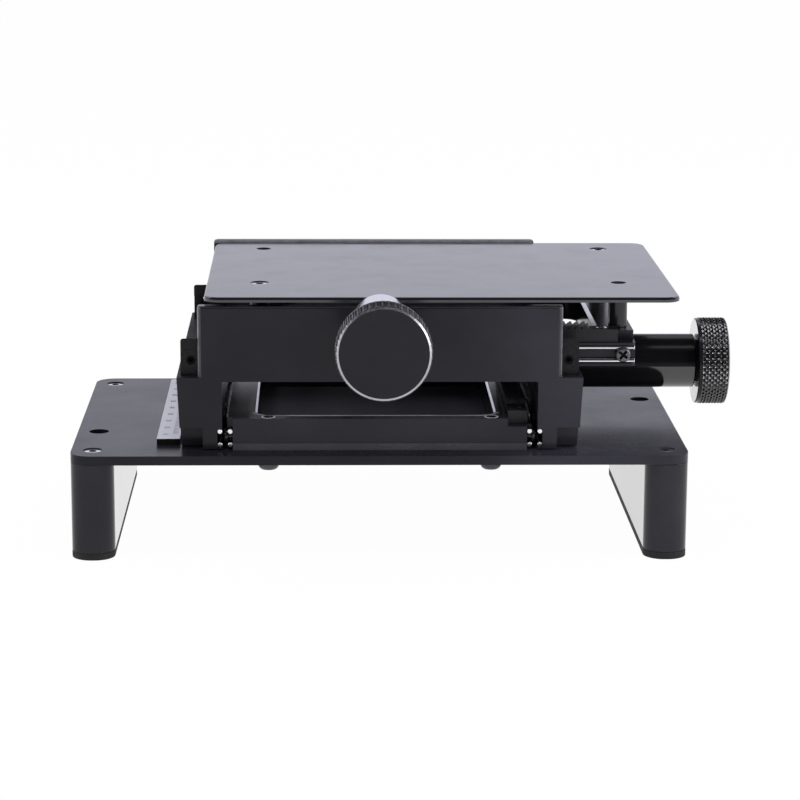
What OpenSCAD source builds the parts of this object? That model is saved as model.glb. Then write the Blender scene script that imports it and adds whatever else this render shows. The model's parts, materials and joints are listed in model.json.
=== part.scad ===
// Two-axis mechanical microscope stage on a raised base plate.
// X runs to the right, Y runs to the back and Z runs up, in millimetres.
// The origin is the middle of the base plate, on the floor under the rubber pads.

/* [Base] */
// Width of the base plate, left to right
base_w = 200; // [196:1:230]
// Depth of the base plate, front to back
base_d = 120; // [114:1:150]
// Thickness of the base plate
base_t = 3; // [2.5:0.1:5]
// Corner radius of the base plate and of the outer leg corners
base_corner_r = 6.5; // [2:0.5:6.5]
// Width of each leg
leg_w = 14; // [13.5:0.5:20]
// Height of each leg
leg_h = 29.4; // [20:0.2:60]
// Thickness of the rubber pad under each leg
pad_t = 2.3; // [1:0.1:5]
// Distance of the leg screws from the front and back edges of the base
leg_screw_inset = 8.9; // [7:0.1:14]
// Diameter of the two bench bolt holes
bench_hole_d = 6.5; // [4.5:0.1:7]
// Distance of each bench bolt hole in front of or behind the middle
bench_hole_y = 24.5; // [12:0.1:38]

/* [Lower frame] */
// Length of the lower frame, front to back
lower_len = 103.2; // [98:0.2:112]
// Height of the lower frame
lower_h = 10.4; // [10:0.1:12]
// Width of the left member of the lower frame
lower_left_w = 9.3; // [7:0.1:14]
// Width of the step beside the rack shelf
ledge_w = 3.9; // [2:0.1:6]
// Depth of the front and back members of the lower frame
lower_end_w = 6.2; // [5:0.1:9]
// Corner radius of the openings in both frames
opening_r = 5; // [3:0.5:9]
// Distance of the lower frame screws from the middle
lower_screw_x = 36.2; // [28:0.1:36.4]

/* [Ball guides] */
// Distance from the middle to the plane of the lower ball tracks
y_track_x = 50.2; // [48:0.1:52]
// Diameter of the guide rods
rod_d = 1.6; // [1.2:0.1:1.8]
// Distance between rods across the track
rod_dx = 3.4; // [3.2:0.1:3.8]
// Distance between upper and lower rods
rod_dz = 4.4; // [4:0.1:4.6]
// Gap between the two guide faces
guide_gap = 1.8; // [1.5:0.1:2]
// Height of the track above the underside of its frame
track_h = 3.9; // [3.7:0.1:4.1]
// Thickness of the ball cage strips
cage_t = 0.5; // [0.3:0.1:0.5]
// Length of the cages in the lower guide
y_cage_len = 60; // [50:1:62]
// Length of the cages in the upper guide
x_cage_len = 72; // [50:1:74]
// Balls in each cage
balls_per_cage = 8; // [4:1:10]
// Running clearance between ball and rod
ball_clear = 0.015; // [0.01:0.005:0.03]

/* [Y carriage] */
// Length of the carriage, front to back
carriage_len = 114; // [112:0.2:124]
// Thickness of each side bar
side_bar_t = 14; // [12.5:0.1:16]
// Gap between the carriage and the base plate
carriage_lift = 0.4; // [0.3:0.1:0.5]
// Thickness of the front and back beams
beam_t = 11.1; // [10.9:0.1:13]
// Thickness of the upright front wall
wall_t = 4.6; // [4:0.1:5]
// Thickness of the upright back wall
back_wall_t = 3; // [2.6:0.1:3.1]
// How far the end blocks stand back from the wall face
block_recess = 4; // [3:0.1:4.1]
// How far the end blocks stand in from the side bars
block_inset = 0.6; // [0:0.1:1.2]
// How far the wall ends stand in from the side bars
wall_inset = 6.2; // [5.6:0.1:9]
// Material above the drive bore in a side bar
bar_cover = 2.8; // [1.5:0.1:4]
// Material above the drive bore in the front wall
wall_cover = 1.1; // [0.6:0.1:2]
// Width of the notch at each lower corner of the carriage
foot_notch_w = 7.7; // [5:0.1:8]
// Height of the notch at each lower corner of the carriage
foot_notch_h = 7.4; // [5:0.1:9]
// Depth of the notch at each lower corner of the carriage
foot_notch_depth = 5; // [3:0.5:6]
// Place of the carriage in the photographed pose, behind the middle
y_rest = 5.4; // [-24:0.2:24]

/* [X carriage] */
// Length of the upper frame, left to right
x_frame_len = 127.8; // [124:0.2:134]
// Height of the upper frame
x_frame_h = 10.4; // [10:0.1:12]
// Width of the step behind the rack shelf of the upper frame
x_ledge_w = 2.9; // [2:0.1:6]
// Width of the left and right members of the upper frame
x_end_w = 12.3; // [11:0.1:14]
// Width of the back member of the upper frame
x_back_w = 6; // [5.6:0.1:9]
// Gap between the side bars and the upper frame
x_frame_clear = 1.2; // [0.6:0.1:2]
// Place of the upper frame in the photographed pose, right of the middle
x_rest = 20; // [-37:0.2:37]

/* [Top plate] */
// Width of the top plate
plate_w = 153.6; // [140:0.2:180]
// Thickness of the top plate
plate_t = 1.6; // [1.5:0.1:3]
// Corner radius of the top plate
plate_corner_r = 5; // [2:0.5:8]
// Gap between the front wall and the underside of the top plate
plate_clear = 1.2; // [0.6:0.1:3]
// Gap between the top plate's back edge and the back wall
plate_back_gap = 0.5; // [0.3:0.1:2]
// Distance of the posts from the left and right ends of the upper frame
post_end_inset = 4.5; // [3.6:0.1:6]
// Distance of the front posts from the front face of the upper frame
front_post_inset = 15.6; // [13:0.1:20]
// Distance of the back posts from the back face of the upper frame
back_post_inset = 4; // [3.6:0.1:4.2]
// Gap between the plate's front edge and the plane of the wall face
plate_setback = 0.4; // [0.3:0.1:1]
// How far the back wall stands above the top plate
scale_rise = 0.9; // [0.2:0.1:2]
// Diameter of the posts
post_d = 6.2; // [5.8:0.1:6.6]
// Diameter of the accessory holes in the top plate
accessory_hole_d = 5; // [4.5:0.1:5.4]
// Diameter of the tapped bore in the accessory posts
accessory_bore_d = 4; // [3:0.5:4]

/* [Drives] */
// Transverse tooth module of racks and pinions
tooth_module = 0.7; // [0.6:0.05:0.75]
// Teeth on each pinion
pinion_teeth = 12; // [11:1:14]
// Slant of the teeth
helix_angle = 20; // [0:0.5:25]
// Width of each rack
rack_w = 6.4; // [5:0.1:7]
// Distance from the guide face to the rack
rack_inset = 1.2; // [0.9:0.1:1.3]
// Height of the rack from its shelf to the pitch line
rack_pitch_h = 5.15; // [5:0.05:6]
// Height of the rack shelf above the underside of its frame
shelf_h = 7.7; // [7.6:0.1:8.3]
// Length of the rack on the upper frame
x_rack_len = 116; // [100:0.2:118]
// Length of the rack on the lower frame
y_rack_len = 93.2; // [84:0.2:96]
// Diameter of the pinion shafts
shaft_d = 4; // [3.5:0.1:4.4]
// Outside diameter of the barrels
barrel_d = 18.4; // [18:0.1:20]
// Length of the front barrel outside its wall
x_barrel_len = 40.6; // [30:0.2:60]
// Length of the right barrel outside its side bar
y_barrel_len = 44.1; // [30:0.1:60]
// How far the right barrel stands behind the middle of the carriage
y_drive_shift = 3.8; // [-4:0.2:6]
// Diameter of the barrel spigot in its wall
spigot_d = 8; // [7.6:0.1:8.4]
// Outside diameter of the bearing bushes
bush_d = 6; // [5.4:0.1:6.4]
// Length of each bearing bush
bush_len = 8; // [5:0.5:12]
// Diameter of the knobs
knob_d = 29.8; // [24:0.2:33]
// Thickness of the knobs
knob_t = 10.6; // [8:0.2:16]
// Plain length at each end of the racks, where the rack screws sit
rack_end_len = 9.5; // [7:0.1:14]
// Chamfer on the rims of the knobs
knob_chamfer = 0.7; // [0.3:0.1:1.5]
// Thickness of the washer behind each knob
washer_t = 0.4; // [0.2:0.1:1]

/* [Fasteners] */
// Diameter of the frame, leg and plate screws
screw_d = 3; // [2.5:0.1:3]
// Head diameter of the countersunk screws
csk_head_d = 6.3; // [5:0.1:6.4]
// Head height of the countersunk screws
csk_head_h = 1.5; // [1.2:0.1:1.5]
// Head diameter of the screws under the base
button_head_d = 7; // [5.5:0.1:7.4]
// Head height of the screws under the base
button_head_h = 4; // [1.6:0.1:4.4]
// Diameter of the rack and barrel screws
small_screw_d = 2.5; // [2:0.1:2.5]
// Head diameter of the rack and barrel screws
small_head_d = 4; // [3.4:0.1:4]
// Head height of the barrel screws
small_head_h = 2; // [1:0.1:2]
// Head height of the countersunk rack screws
small_csk_h = 0.75; // [0.5:0.05:0.75]
// Head diameter of the guide stop screws
stop_head_d = 4.9; // [4:0.1:5]
// Head height of the guide stop screws
stop_head_h = 1.3; // [0.8:0.1:1.3]
// Length of the set screws
set_screw_len = 5; // [3:0.5:6]

/* [Y scale] */
// Width of the scale strip on the base
scale_w = 7.1; // [5:0.1:12]
// Thickness of the scale strip
scale_t = 2; // [1:0.1:3]
// Length of the scale strip
scale_len = 93.2; // [80:0.2:110]
// How far the scale strip stands behind the middle
scale_shift_y = 2.8; // [-4:0.1:4]

/* [Hidden] */
$fn = 64;

// Finishes
anodised = [0.13, 0.13, 0.14];
plate_finish = [0.22, 0.22, 0.25];
blackened = [0.08, 0.08, 0.09];
bright_steel = [0.82, 0.83, 0.85];
screw_steel = [0.35, 0.35, 0.37];
rubber = [0.07, 0.07, 0.07];
scale_metal = [0.78, 0.79, 0.83];
bronze = [0.72, 0.55, 0.30];
nylon = [0.88, 0.87, 0.82];

// Fit clearances, per side
thread_clear = 0.02;
seat_clear = 0.01;
bore_clear = 0.03;
cut = 1;

// Heights
leg_z = pad_t;
base_z = leg_z + leg_h;
base_top = base_z + base_t;
lower_top = base_top + lower_h;
pitch_r = tooth_module * pinion_teeth / 2;
pinion_lift = 0.05;
axis_over_frame = shelf_h + rack_pitch_h + pitch_r + pinion_lift;
y_axis_z = base_top + axis_over_frame;
bar_top = y_axis_z + spigot_d / 2 + bar_cover;
x_frame_z = bar_top + x_frame_clear;
x_frame_top = x_frame_z + x_frame_h;
x_axis_z = x_frame_z + axis_over_frame;
wall_top = x_axis_z + spigot_d / 2 + wall_cover;
plate_z = wall_top + plate_clear;
plate_top = plate_z + plate_t;
back_wall_top = plate_top + scale_rise;
beam_drop = 1.3;
beam_z = bar_top - beam_drop;
block_rise = 0.6;
block_top = x_frame_top + block_rise;
y_track_z = base_top + track_h;
x_track_z = x_frame_z + track_h;

// Ball guide section, measured from the middle plane of a track
rod_r = rod_d / 2;
slot_back = rod_dx / 2 + rod_r + seat_clear;
slot_h = rod_dz + rod_d + 2 * seat_clear;
ball_r = sqrt(pow(rod_dx / 2, 2) + pow(rod_dz / 2, 2)) - rod_r - ball_clear;
rod_inset = 0.3;
rack_side_clear = 0.3;
scale_gap = 0.6;
end_relief = 3;
end_stop_inset = 4.2;

// Plan of the lower frame
lower_half_w = y_track_x - guide_gap / 2;
shelf_w = rack_inset + rack_w + rack_side_clear;
lower_right_w = shelf_w + ledge_w;
lower_screw_y = lower_len / 2 - lower_end_w / 2;

// Plan of the carriage
bar_inner_x = y_track_x + guide_gap / 2;
carriage_half_w = bar_inner_x + side_bar_t;
carriage_half_len = carriage_len / 2;
carriage_y = y_rest;
beam_inner = carriage_half_len - beam_t;
wall_half_w = carriage_half_w - wall_inset;
block_half_w = carriage_half_w - block_inset;
wall_r = 2;
set_screw_inset = 3.4;
set_screw_x = block_half_w - set_screw_inset;
lower_set_y = carriage_half_len - foot_notch_depth - set_screw_inset;

// Plan of the upper frame
x_track_y = beam_inner - guide_gap / 2;
x_half_len = x_frame_len / 2;
x_half_w = x_track_y - guide_gap / 2;
x_front_w = shelf_w + x_ledge_w;
plate_d = carriage_len - plate_setback - plate_back_gap - back_wall_t;
post_x = x_half_len - post_end_inset;
post_front_y = -x_half_w + front_post_inset;
post_back_y = x_half_w - back_post_inset;
x_opening_y = (x_front_w - x_back_w) / 2;
x_corner_r = 2;
barrel_relief = 1.2;

// Teeth
pressure_angle = 25;
tooth_pitch = PI * tooth_module;
backlash = 0.05;
tooth_half = tooth_pitch / 4 - backlash / 2;
addendum = tooth_module * 0.93;
dedendum = tooth_module * 1.28;
tip_r = pitch_r + addendum;
root_r = pitch_r - dedendum;
base_circle_r = pitch_r * cos(pressure_angle);
flank_steps = 3;
pinion_w = rack_w + 0.4;
pinion_slices = 8;

// Drives, measured inwards from the outer face of the wall that carries the barrel
shaft_r = shaft_d / 2;
drag_gap = 0.1;
knob_gap = washer_t + drag_gap;
x_knob_back = -(x_barrel_len + knob_gap);
y_knob_back = -(y_barrel_len + knob_gap);
x_pinion_in = beam_t + guide_gap + rack_inset + rack_w / 2;
y_pinion_in = side_bar_t + guide_gap + rack_inset + rack_w / 2;
knob_bore_depth = knob_t - 2;
barrel_bore_d = bush_d;
barrel_screw_r = spigot_d / 2 + small_head_d / 2 + 0.4;
barrel_screw_grip = 6;
ring_t = 0.6;
ring_groove = 0.4;
ring_d = shaft_d + 3;

// Screw places and forms
leg_x = base_w / 2 - leg_w / 2;
leg_screw_y = base_d / 2 - leg_screw_inset;
leg_screw_len = 12;
lower_screw_len = base_t + lower_h * 0.65;
button_edge_r = 1.8;
rack_screw_len = 8;
plate_screw_len = 7;
post_stud_len = 4.5;
accessory_bore_depth = 9;

// Shared shapes

module box(x0, x1, y0, y1, z0, z1) {
    translate([x0, y0, z0]) cube([x1 - x0, y1 - y0, z1 - z0]);
}

module round_rect(w, d, r) {
    square([w - 2 * r, d], center = true);
    square([w, d - 2 * r], center = true);
    for (sx = [-1, 1], sy = [-1, 1])
        translate([sx * (w / 2 - r), sy * (d / 2 - r)]) circle(r = r);
}

module round_slab(w, d, r, z0, z1) {
    translate([0, 0, z0]) linear_extrude(height = z1 - z0) round_rect(w, d, r);
}

module bore_z(x, y, d, z0, z1) {
    translate([x, y, z0]) cylinder(d = d, h = z1 - z0);
}

module along_y(y0, y1, d) {
    translate([0, y0, 0]) rotate([-90, 0, 0]) cylinder(d = d, h = y1 - y0);
}

module along_x(x0, x1, d) {
    translate([x0, 0, 0]) rotate([0, 90, 0]) cylinder(d = d, h = x1 - x0);
}

// Countersunk screw with its flat head at z = 0, pointing down
module csk_screw(len) {
    socket_d = screw_d * 0.66;
    difference() {
        union() {
            translate([0, 0, -csk_head_h])
                cylinder(r1 = csk_head_d / 2 - csk_head_h, r2 = csk_head_d / 2, h = csk_head_h);
            translate([0, 0, -len]) cylinder(d = screw_d, h = len - csk_head_h / 2);
        }
        translate([0, 0, -csk_head_h * 0.8]) cylinder(d = socket_d * 1.15, h = csk_head_h, $fn = 6);
    }
}

module csk_sink() {
    translate([0, 0, -csk_head_h])
        cylinder(r1 = csk_head_d / 2 - csk_head_h + seat_clear, r2 = csk_head_d / 2 + seat_clear, h = csk_head_h);
    cylinder(d = csk_head_d + 2 * seat_clear, h = cut);
}

// Cheese head screw, head from z = 0 upwards and shank above it
module cap_screw(d, head_d, head_h, len) {
    difference() {
        union() {
            cylinder(d = head_d, h = head_h);
            cylinder(d = d, h = head_h + len);
        }
        translate([0, 0, -cut]) cylinder(d = d * 0.8, h = cut + head_h * 0.6, $fn = 6);
    }
}

// Screw with a rounded head, head from z = 0 upwards and shank above it
module round_screw(head_d, head_h, len) {
    r = head_d / 2;
    edge = min(button_edge_r, head_h - 0.4);
    arc = [for (a = [-90 : 15 : 0]) [r - edge + edge * cos(a), edge + edge * sin(a)]];
    difference() {
        union() {
            rotate_extrude() polygon(concat([[0, 0]], arc, [[r, head_h], [0, head_h]]));
            cylinder(d = screw_d, h = head_h + len);
        }
        translate([0, 0, -cut]) cylinder(d = screw_d * 0.8, h = cut + head_h * 0.6, $fn = 6);
    }
}

module set_screw(len) {
    difference() {
        cylinder(d = screw_d, h = len);
        translate([0, 0, -cut]) cylinder(d = screw_d * 0.58, h = cut + len * 0.4, $fn = 6);
    }
}

// Two rods of one guide, one above the other
module rods_y(x, y0, y1, z) {
    for (s = [-1, 1])
        translate([x, 0, z + s * rod_dz / 2]) along_y(y0, y1, rod_d);
}

module rods_x(y, x0, x1, z) {
    for (s = [-1, 1])
        translate([0, y, z + s * rod_dz / 2]) along_x(x0, x1, rod_d);
}

// Screw that clamps two rods and stops the cage, shank along +X and head at the track plane
module stop_screw() {
    head_back = rod_dx / 2 - rod_r - seat_clear;
    difference() {
        union() {
            translate([head_back - stop_head_h, 0, 0]) rotate([0, 90, 0]) cylinder(d = stop_head_d, h = stop_head_h);
            along_x(head_back - stop_head_h / 2, slot_back + 5, small_screw_d);
        }
        for (a = [45, 135])
            rotate([a, 0, 0])
                box(head_back - stop_head_h - cut, head_back - stop_head_h * 0.4,
                    -stop_head_d * 0.32, stop_head_d * 0.32, -0.35, 0.35);
    }
}

module stop_hole() {
    along_x(slot_back - cut, slot_back + 5 + seat_clear, small_screw_d + 2 * thread_clear);
}

// Pinion and rack, in a drive frame: shaft along Y, rack teeth below and counted along X

function involute(r) = let (a = acos(min(1, base_circle_r / r))) tan(a) * 180 / PI - a;
function tooth_angle(r) = tooth_half / pitch_r * 180 / PI + involute(pitch_r) - involute(r);
function polar(r, a) = [r * cos(a), r * sin(a)];
function flank_r(i) = base_circle_r + (tip_r - base_circle_r) * i / flank_steps;
function pinion_tooth(a) = concat(
    [polar(root_r, a - tooth_angle(base_circle_r))],
    [for (i = [0 : flank_steps]) polar(flank_r(i), a - tooth_angle(flank_r(i)))],
    [for (i = [flank_steps : -1 : 0]) polar(flank_r(i), a + tooth_angle(flank_r(i)))],
    [polar(root_r, a + tooth_angle(base_circle_r))]
);
function pinion_outline() = [
    for (k = [0 : pinion_teeth - 1])
        each pinion_tooth(90 + (k + 0.5) * 360 / pinion_teeth)
];

// The rack tooth nearest the shaft stands at x = rack_offset in the drive frame
module pinion(inwards, rack_offset) {
    twist = pinion_w * tan(helix_angle) / pitch_r * 180 / PI;
    phase = -rack_offset / pitch_r * 180 / PI;
    difference() {
        translate([0, inwards, 0]) rotate([-90, 0, 0]) rotate([0, 0, phase + twist / 2])
            linear_extrude(height = pinion_w, center = true, twist = twist, slices = pinion_slices)
                polygon(pinion_outline());
        along_y(inwards - pinion_w, inwards + pinion_w, shaft_d);
    }
}

function rack_tooth(k) = let (
    c = k * tooth_pitch,
    tip = tooth_half - addendum * tan(pressure_angle),
    root = tooth_half + dedendum * tan(pressure_angle)
) [[c - root, -dedendum], [c - tip, addendum], [c + tip, addendum], [c + root, -dedendum]];

// A rack on its shelf at z = 0: plain ends at root height, with a countersunk screw in each
module rack(len) {
    toothed = len - 2 * rack_end_len;
    root_h = rack_pitch_h - dedendum;
    count = ceil((toothed + rack_w * tan(helix_angle)) / tooth_pitch / 2) + 1;
    reach = (count + 1) * tooth_pitch;
    teeth = [for (k = [-count : count]) each rack_tooth(k)];
    outline = concat([[-reach, -rack_pitch_h], [-reach, -dedendum]], teeth,
                     [[reach, -dedendum], [reach, -rack_pitch_h]]);
    difference() {
        union() {
            box(-len / 2, len / 2, -rack_w / 2, rack_w / 2, 0, root_h);
            intersection() {
                translate([0, 0, rack_pitch_h]) rotate([0, 0, -helix_angle]) rotate([90, 0, 0])
                    linear_extrude(height = 2 * rack_w + toothed * sin(helix_angle), center = true)
                        polygon([for (p = outline) [p[0] * cos(helix_angle), p[1]]]);
                box(-toothed / 2, toothed / 2, -rack_w / 2, rack_w / 2, 0, rack_pitch_h + addendum + cut);
            }
        }
        at_rack_ends(len) {
            bore_z(0, 0, small_screw_d + 2 * thread_clear, -cut, root_h + cut);
            translate([0, 0, root_h - small_csk_h])
                cylinder(r1 = small_head_d / 2 - small_csk_h + seat_clear, r2 = small_head_d / 2 + seat_clear,
                         h = small_csk_h);
            bore_z(0, 0, small_head_d + 2 * seat_clear, root_h, root_h + cut);
        }
    }
}

module at_rack_ends(len) {
    for (s = [-1, 1])
        translate([s * (len - rack_end_len) / 2, 0, 0]) children();
}

module rack_screws(len) {
    top = rack_pitch_h - dedendum;
    at_rack_ends(len) difference() {
        union() {
            translate([0, 0, top - small_csk_h])
                cylinder(r1 = small_head_d / 2 - small_csk_h, r2 = small_head_d / 2, h = small_csk_h);
            bore_z(0, 0, small_screw_d, top - rack_screw_len, top - small_csk_h / 2);
        }
        translate([0, 0, top - small_csk_h * 0.8]) cylinder(d = small_screw_d * 0.7, h = small_csk_h, $fn = 6);
    }
}

module rack_screw_holes(len) {
    at_rack_ends(len)
        bore_z(0, 0, small_screw_d + 2 * thread_clear, rack_pitch_h - dedendum - rack_screw_len - seat_clear, cut);
}

// Parts of a drive, with y = 0 on the outer face of the wall and the knob towards -Y

module barrel(host_t, barrel_len) {
    difference() {
        union() {
            along_y(-barrel_len, 0, barrel_d);
            along_y(-cut, host_t, spigot_d);
        }
        along_y(-barrel_len - cut, host_t + cut, barrel_bore_d);
        for (s = [-1, 1])
            translate([s * barrel_screw_r, 0, 0])
                along_y(-barrel_screw_grip - seat_clear, cut, small_screw_d + 2 * thread_clear);
    }
}

module bushes(host_t, barrel_len) {
    difference() {
        union() {
            along_y(-barrel_len, -barrel_len + bush_len, bush_d);
            along_y(host_t - bush_len, host_t, bush_d);
        }
        along_y(-barrel_len - cut, host_t + cut, shaft_d + 2 * bore_clear);
    }
}

module barrel_screws(host_t) {
    for (s = [-1, 1])
        translate([s * barrel_screw_r, host_t, 0]) rotate([90, 0, 0])
            cap_screw(small_screw_d, small_head_d, small_head_h, host_t - small_head_h + barrel_screw_grip);
}

module barrel_seat(host_t) {
    along_y(-cut, host_t + cut, spigot_d + 2 * seat_clear);
    for (s = [-1, 1])
        translate([s * barrel_screw_r, 0, 0]) {
            along_y(-cut, host_t + cut, small_screw_d + 2 * thread_clear);
            along_y(host_t - small_head_h, host_t + cut, small_head_d + 2 * seat_clear);
        }
}

module drag_washer(barrel_len) {
    difference() {
        along_y(-barrel_len - washer_t, -barrel_len, barrel_d - 4);
        along_y(-barrel_len - washer_t - cut, -barrel_len + cut, shaft_d + 2 * bore_clear);
    }
}

module knob(knob_back) {
    r = knob_d / 2;
    c = knob_chamfer;
    difference() {
        translate([0, knob_back, 0]) rotate([90, 0, 0]) rotate_extrude($fn = 96)
            polygon([[0, 0], [r - c, 0], [r, c], [r, knob_t - c], [r - c, knob_t], [0, knob_t]]);
        along_y(knob_back - knob_bore_depth, knob_back + cut, shaft_d);
        translate([0, knob_back - knob_t / 2, -r - cut]) cylinder(d = screw_d + 2 * thread_clear, h = r + cut);
    }
}

module knob_set_screw(knob_back) {
    translate([0, knob_back - knob_t / 2, -shaft_r - seat_clear - set_screw_len]) set_screw(set_screw_len);
}

module shaft(host_t, inwards, knob_back) {
    groove_y = host_t + drag_gap;
    difference() {
        along_y(knob_back - knob_bore_depth, inwards + pinion_w / 2, shaft_d);
        difference() {
            along_y(groove_y, groove_y + ring_t, shaft_d + cut);
            along_y(groove_y - cut, groove_y + ring_t + cut, shaft_d - 2 * ring_groove);
        }
    }
}

module retaining_ring(host_t) {
    ring_y = host_t + drag_gap;
    difference() {
        along_y(ring_y, ring_y + ring_t, ring_d);
        along_y(ring_y - cut, ring_y + ring_t + cut, shaft_d - 2 * ring_groove);
    }
}

module at_x_drive() {
    translate([0, carriage_y - carriage_half_len, x_axis_z]) children();
}

module at_y_drive() {
    translate([carriage_half_w, carriage_y + y_drive_shift, y_axis_z]) rotate([0, 0, 90]) children();
}

// Base

module base_plate() {
    color(anodised) difference() {
        round_slab(base_w, base_d, base_corner_r, base_z, base_top);
        for (sx = [-1, 1], sy = [-1, 1]) {
            bore_z(sx * leg_x, sy * leg_screw_y, screw_d + 2 * thread_clear, base_z - cut, base_top + cut);
            translate([sx * leg_x, sy * leg_screw_y, base_top]) csk_sink();
            bore_z(sx * lower_screw_x, sy * lower_screw_y, screw_d + 2 * thread_clear, base_z - cut, base_top + cut);
        }
        for (s = [-1, 1])
            bore_z(s * leg_x, s * bench_hole_y, bench_hole_d, base_z - cut, base_top + cut);
    }
}

// One leg or pad: a strip of the base outline, rounded on its inner corners too
module leg_strip(side, z0, z1) {
    translate([side * leg_x, 0, 0]) round_slab(leg_w, base_d, min(base_corner_r, leg_w / 2 - 0.2), z0, z1);
}

module leg(side) {
    color(anodised) difference() {
        leg_strip(side, leg_z, base_z);
        for (sy = [-1, 1])
            bore_z(side * leg_x, sy * leg_screw_y, screw_d + 2 * thread_clear, base_top - leg_screw_len - cut, base_z + cut);
        bore_z(side * leg_x, side * bench_hole_y, bench_hole_d, leg_z - cut, base_z + cut);
    }
}

module foot_pad(side) {
    color(rubber) difference() {
        leg_strip(side, 0, pad_t);
        bore_z(side * leg_x, side * bench_hole_y, bench_hole_d, -cut, pad_t + cut);
    }
}

module base_plate_screws() {
    color(screw_steel)
        for (sx = [-1, 1], sy = [-1, 1])
            translate([sx * leg_x, sy * leg_screw_y, base_top]) csk_screw(leg_screw_len);
}

// Lower frame

module lower_opening() {
    x0 = -lower_half_w + lower_left_w;
    x1 = lower_half_w - lower_right_w;
    translate([(x0 + x1) / 2, 0, 0])
        round_slab(x1 - x0, lower_len - 2 * lower_end_w, opening_r, base_top - cut, lower_top + cut);
}

module at_y_stops() {
    for (sx = [-1, 1], sy = [-1, 1])
        translate([sx * y_track_x, sy * (lower_len / 2 - end_stop_inset), y_track_z])
            rotate([0, 0, sx > 0 ? 180 : 0]) children();
}

module at_y_rack() {
    translate([lower_half_w - rack_inset - rack_w / 2, 0, base_top + shelf_h]) rotate([0, 0, 90]) children();
}

module lower_frame() {
    color(anodised) difference() {
        box(-lower_half_w, lower_half_w, -lower_len / 2, lower_len / 2, base_top, lower_top);
        lower_opening();
        box(lower_half_w - shelf_w, lower_half_w + cut, -lower_len, lower_len, base_top + shelf_h, lower_top + cut);
        for (s = [-1, 1]) {
            slot_x = s * (y_track_x - slot_back);
            out_x = s * (lower_half_w + cut);
            box(min(slot_x, out_x), max(slot_x, out_x), -lower_len, lower_len,
                y_track_z - slot_h / 2, y_track_z + slot_h / 2);
            for (e = [-1, 1]) {
                y0 = e * (lower_len / 2 - end_relief);
                y1 = e * (lower_len / 2 + cut);
                box(min(slot_x, out_x), max(slot_x, out_x), min(y0, y1), max(y0, y1), base_top - cut, lower_top + cut);
            }
            for (sy = [-1, 1])
                bore_z(s * lower_screw_x, sy * lower_screw_y, screw_d + 2 * thread_clear, base_top - cut, lower_top + cut);
        }
        at_y_stops() stop_hole();
        at_y_rack() rack_screw_holes(y_rack_len);
    }
}

module lower_frame_screws() {
    color(screw_steel)
        for (sx = [-1, 1], sy = [-1, 1])
            translate([sx * lower_screw_x, sy * lower_screw_y, base_z - button_head_h])
                round_screw(button_head_d, button_head_h, lower_screw_len);
}

module lower_rods(side) {
    color(bright_steel)
        rods_y(side * (y_track_x - rod_dx / 2), -lower_len / 2 + rod_inset, lower_len / 2 - rod_inset, y_track_z);
}

module y_rack() {
    color(blackened) at_y_rack() rack(y_rack_len);
}

module y_rack_screws() {
    color(screw_steel) at_y_rack() rack_screws(y_rack_len);
}

module y_stop_screws() {
    color(screw_steel) at_y_stops() stop_screw();
}

module y_scale() {
    x1 = -carriage_half_w - scale_gap;
    color(scale_metal)
        box(x1 - scale_w, x1, scale_shift_y - scale_len / 2, scale_shift_y + scale_len / 2, base_top, base_top + scale_t);
}

// Y carriage

module rod_slots_y() {
    for (s = [-1, 1]) {
        a = s * (bar_inner_x - cut);
        b = s * (y_track_x + slot_back);
        box(min(a, b), max(a, b), -carriage_len, carriage_len, y_track_z - slot_h / 2, y_track_z + slot_h / 2);
    }
}

module rod_slots_x() {
    for (s = [-1, 1]) {
        a = s * (beam_inner - cut);
        b = s * (x_track_y + slot_back);
        box(-carriage_len, carriage_len, min(a, b), max(a, b), x_track_z - slot_h / 2, x_track_z + slot_h / 2);
    }
}

// The set screws stop just short of the rods; each child points away from its slot
module at_rod_set_screws() {
    for (sx = [-1, 1], sy = [-1, 1]) {
        translate([sx * set_screw_x, sy * (x_track_y + slot_back + seat_clear), x_track_z])
            rotate([-sy * 90, 0, 0]) children();
        translate([sx * (y_track_x + slot_back + seat_clear), sy * lower_set_y, y_track_z])
            rotate([0, sx * 90, 0]) children();
    }
}

module end_beam(side, t, top) {
    block_out = carriage_half_len - block_recess;
    mirror([0, side < 0 ? 1 : 0, 0]) {
        box(-block_half_w, block_half_w, beam_inner, block_out, beam_z, block_top);
        translate([0, carriage_half_len - t / 2 - wall_r / 2, 0]) difference() {
            round_slab(2 * wall_half_w, t + wall_r, wall_r, beam_z, top);
            box(-wall_half_w - cut, wall_half_w + cut, -t, -t / 2 + wall_r / 2, beam_z - cut, top + cut);
        }
    }
}

module side_bar(side) {
    x0 = side * bar_inner_x;
    x1 = side * carriage_half_w;
    notch_x = side * (carriage_half_w - foot_notch_w);
    out_x = side * (carriage_half_w + cut);
    difference() {
        box(min(x0, x1), max(x0, x1), -carriage_half_len, carriage_half_len, base_top + carriage_lift, bar_top);
        for (e = [-1, 1]) {
            y0 = e * (carriage_half_len - foot_notch_depth);
            y1 = e * (carriage_half_len + cut);
            box(min(notch_x, out_x), max(notch_x, out_x), min(y0, y1), max(y0, y1), base_top, base_top + foot_notch_h);
        }
    }
}

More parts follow.
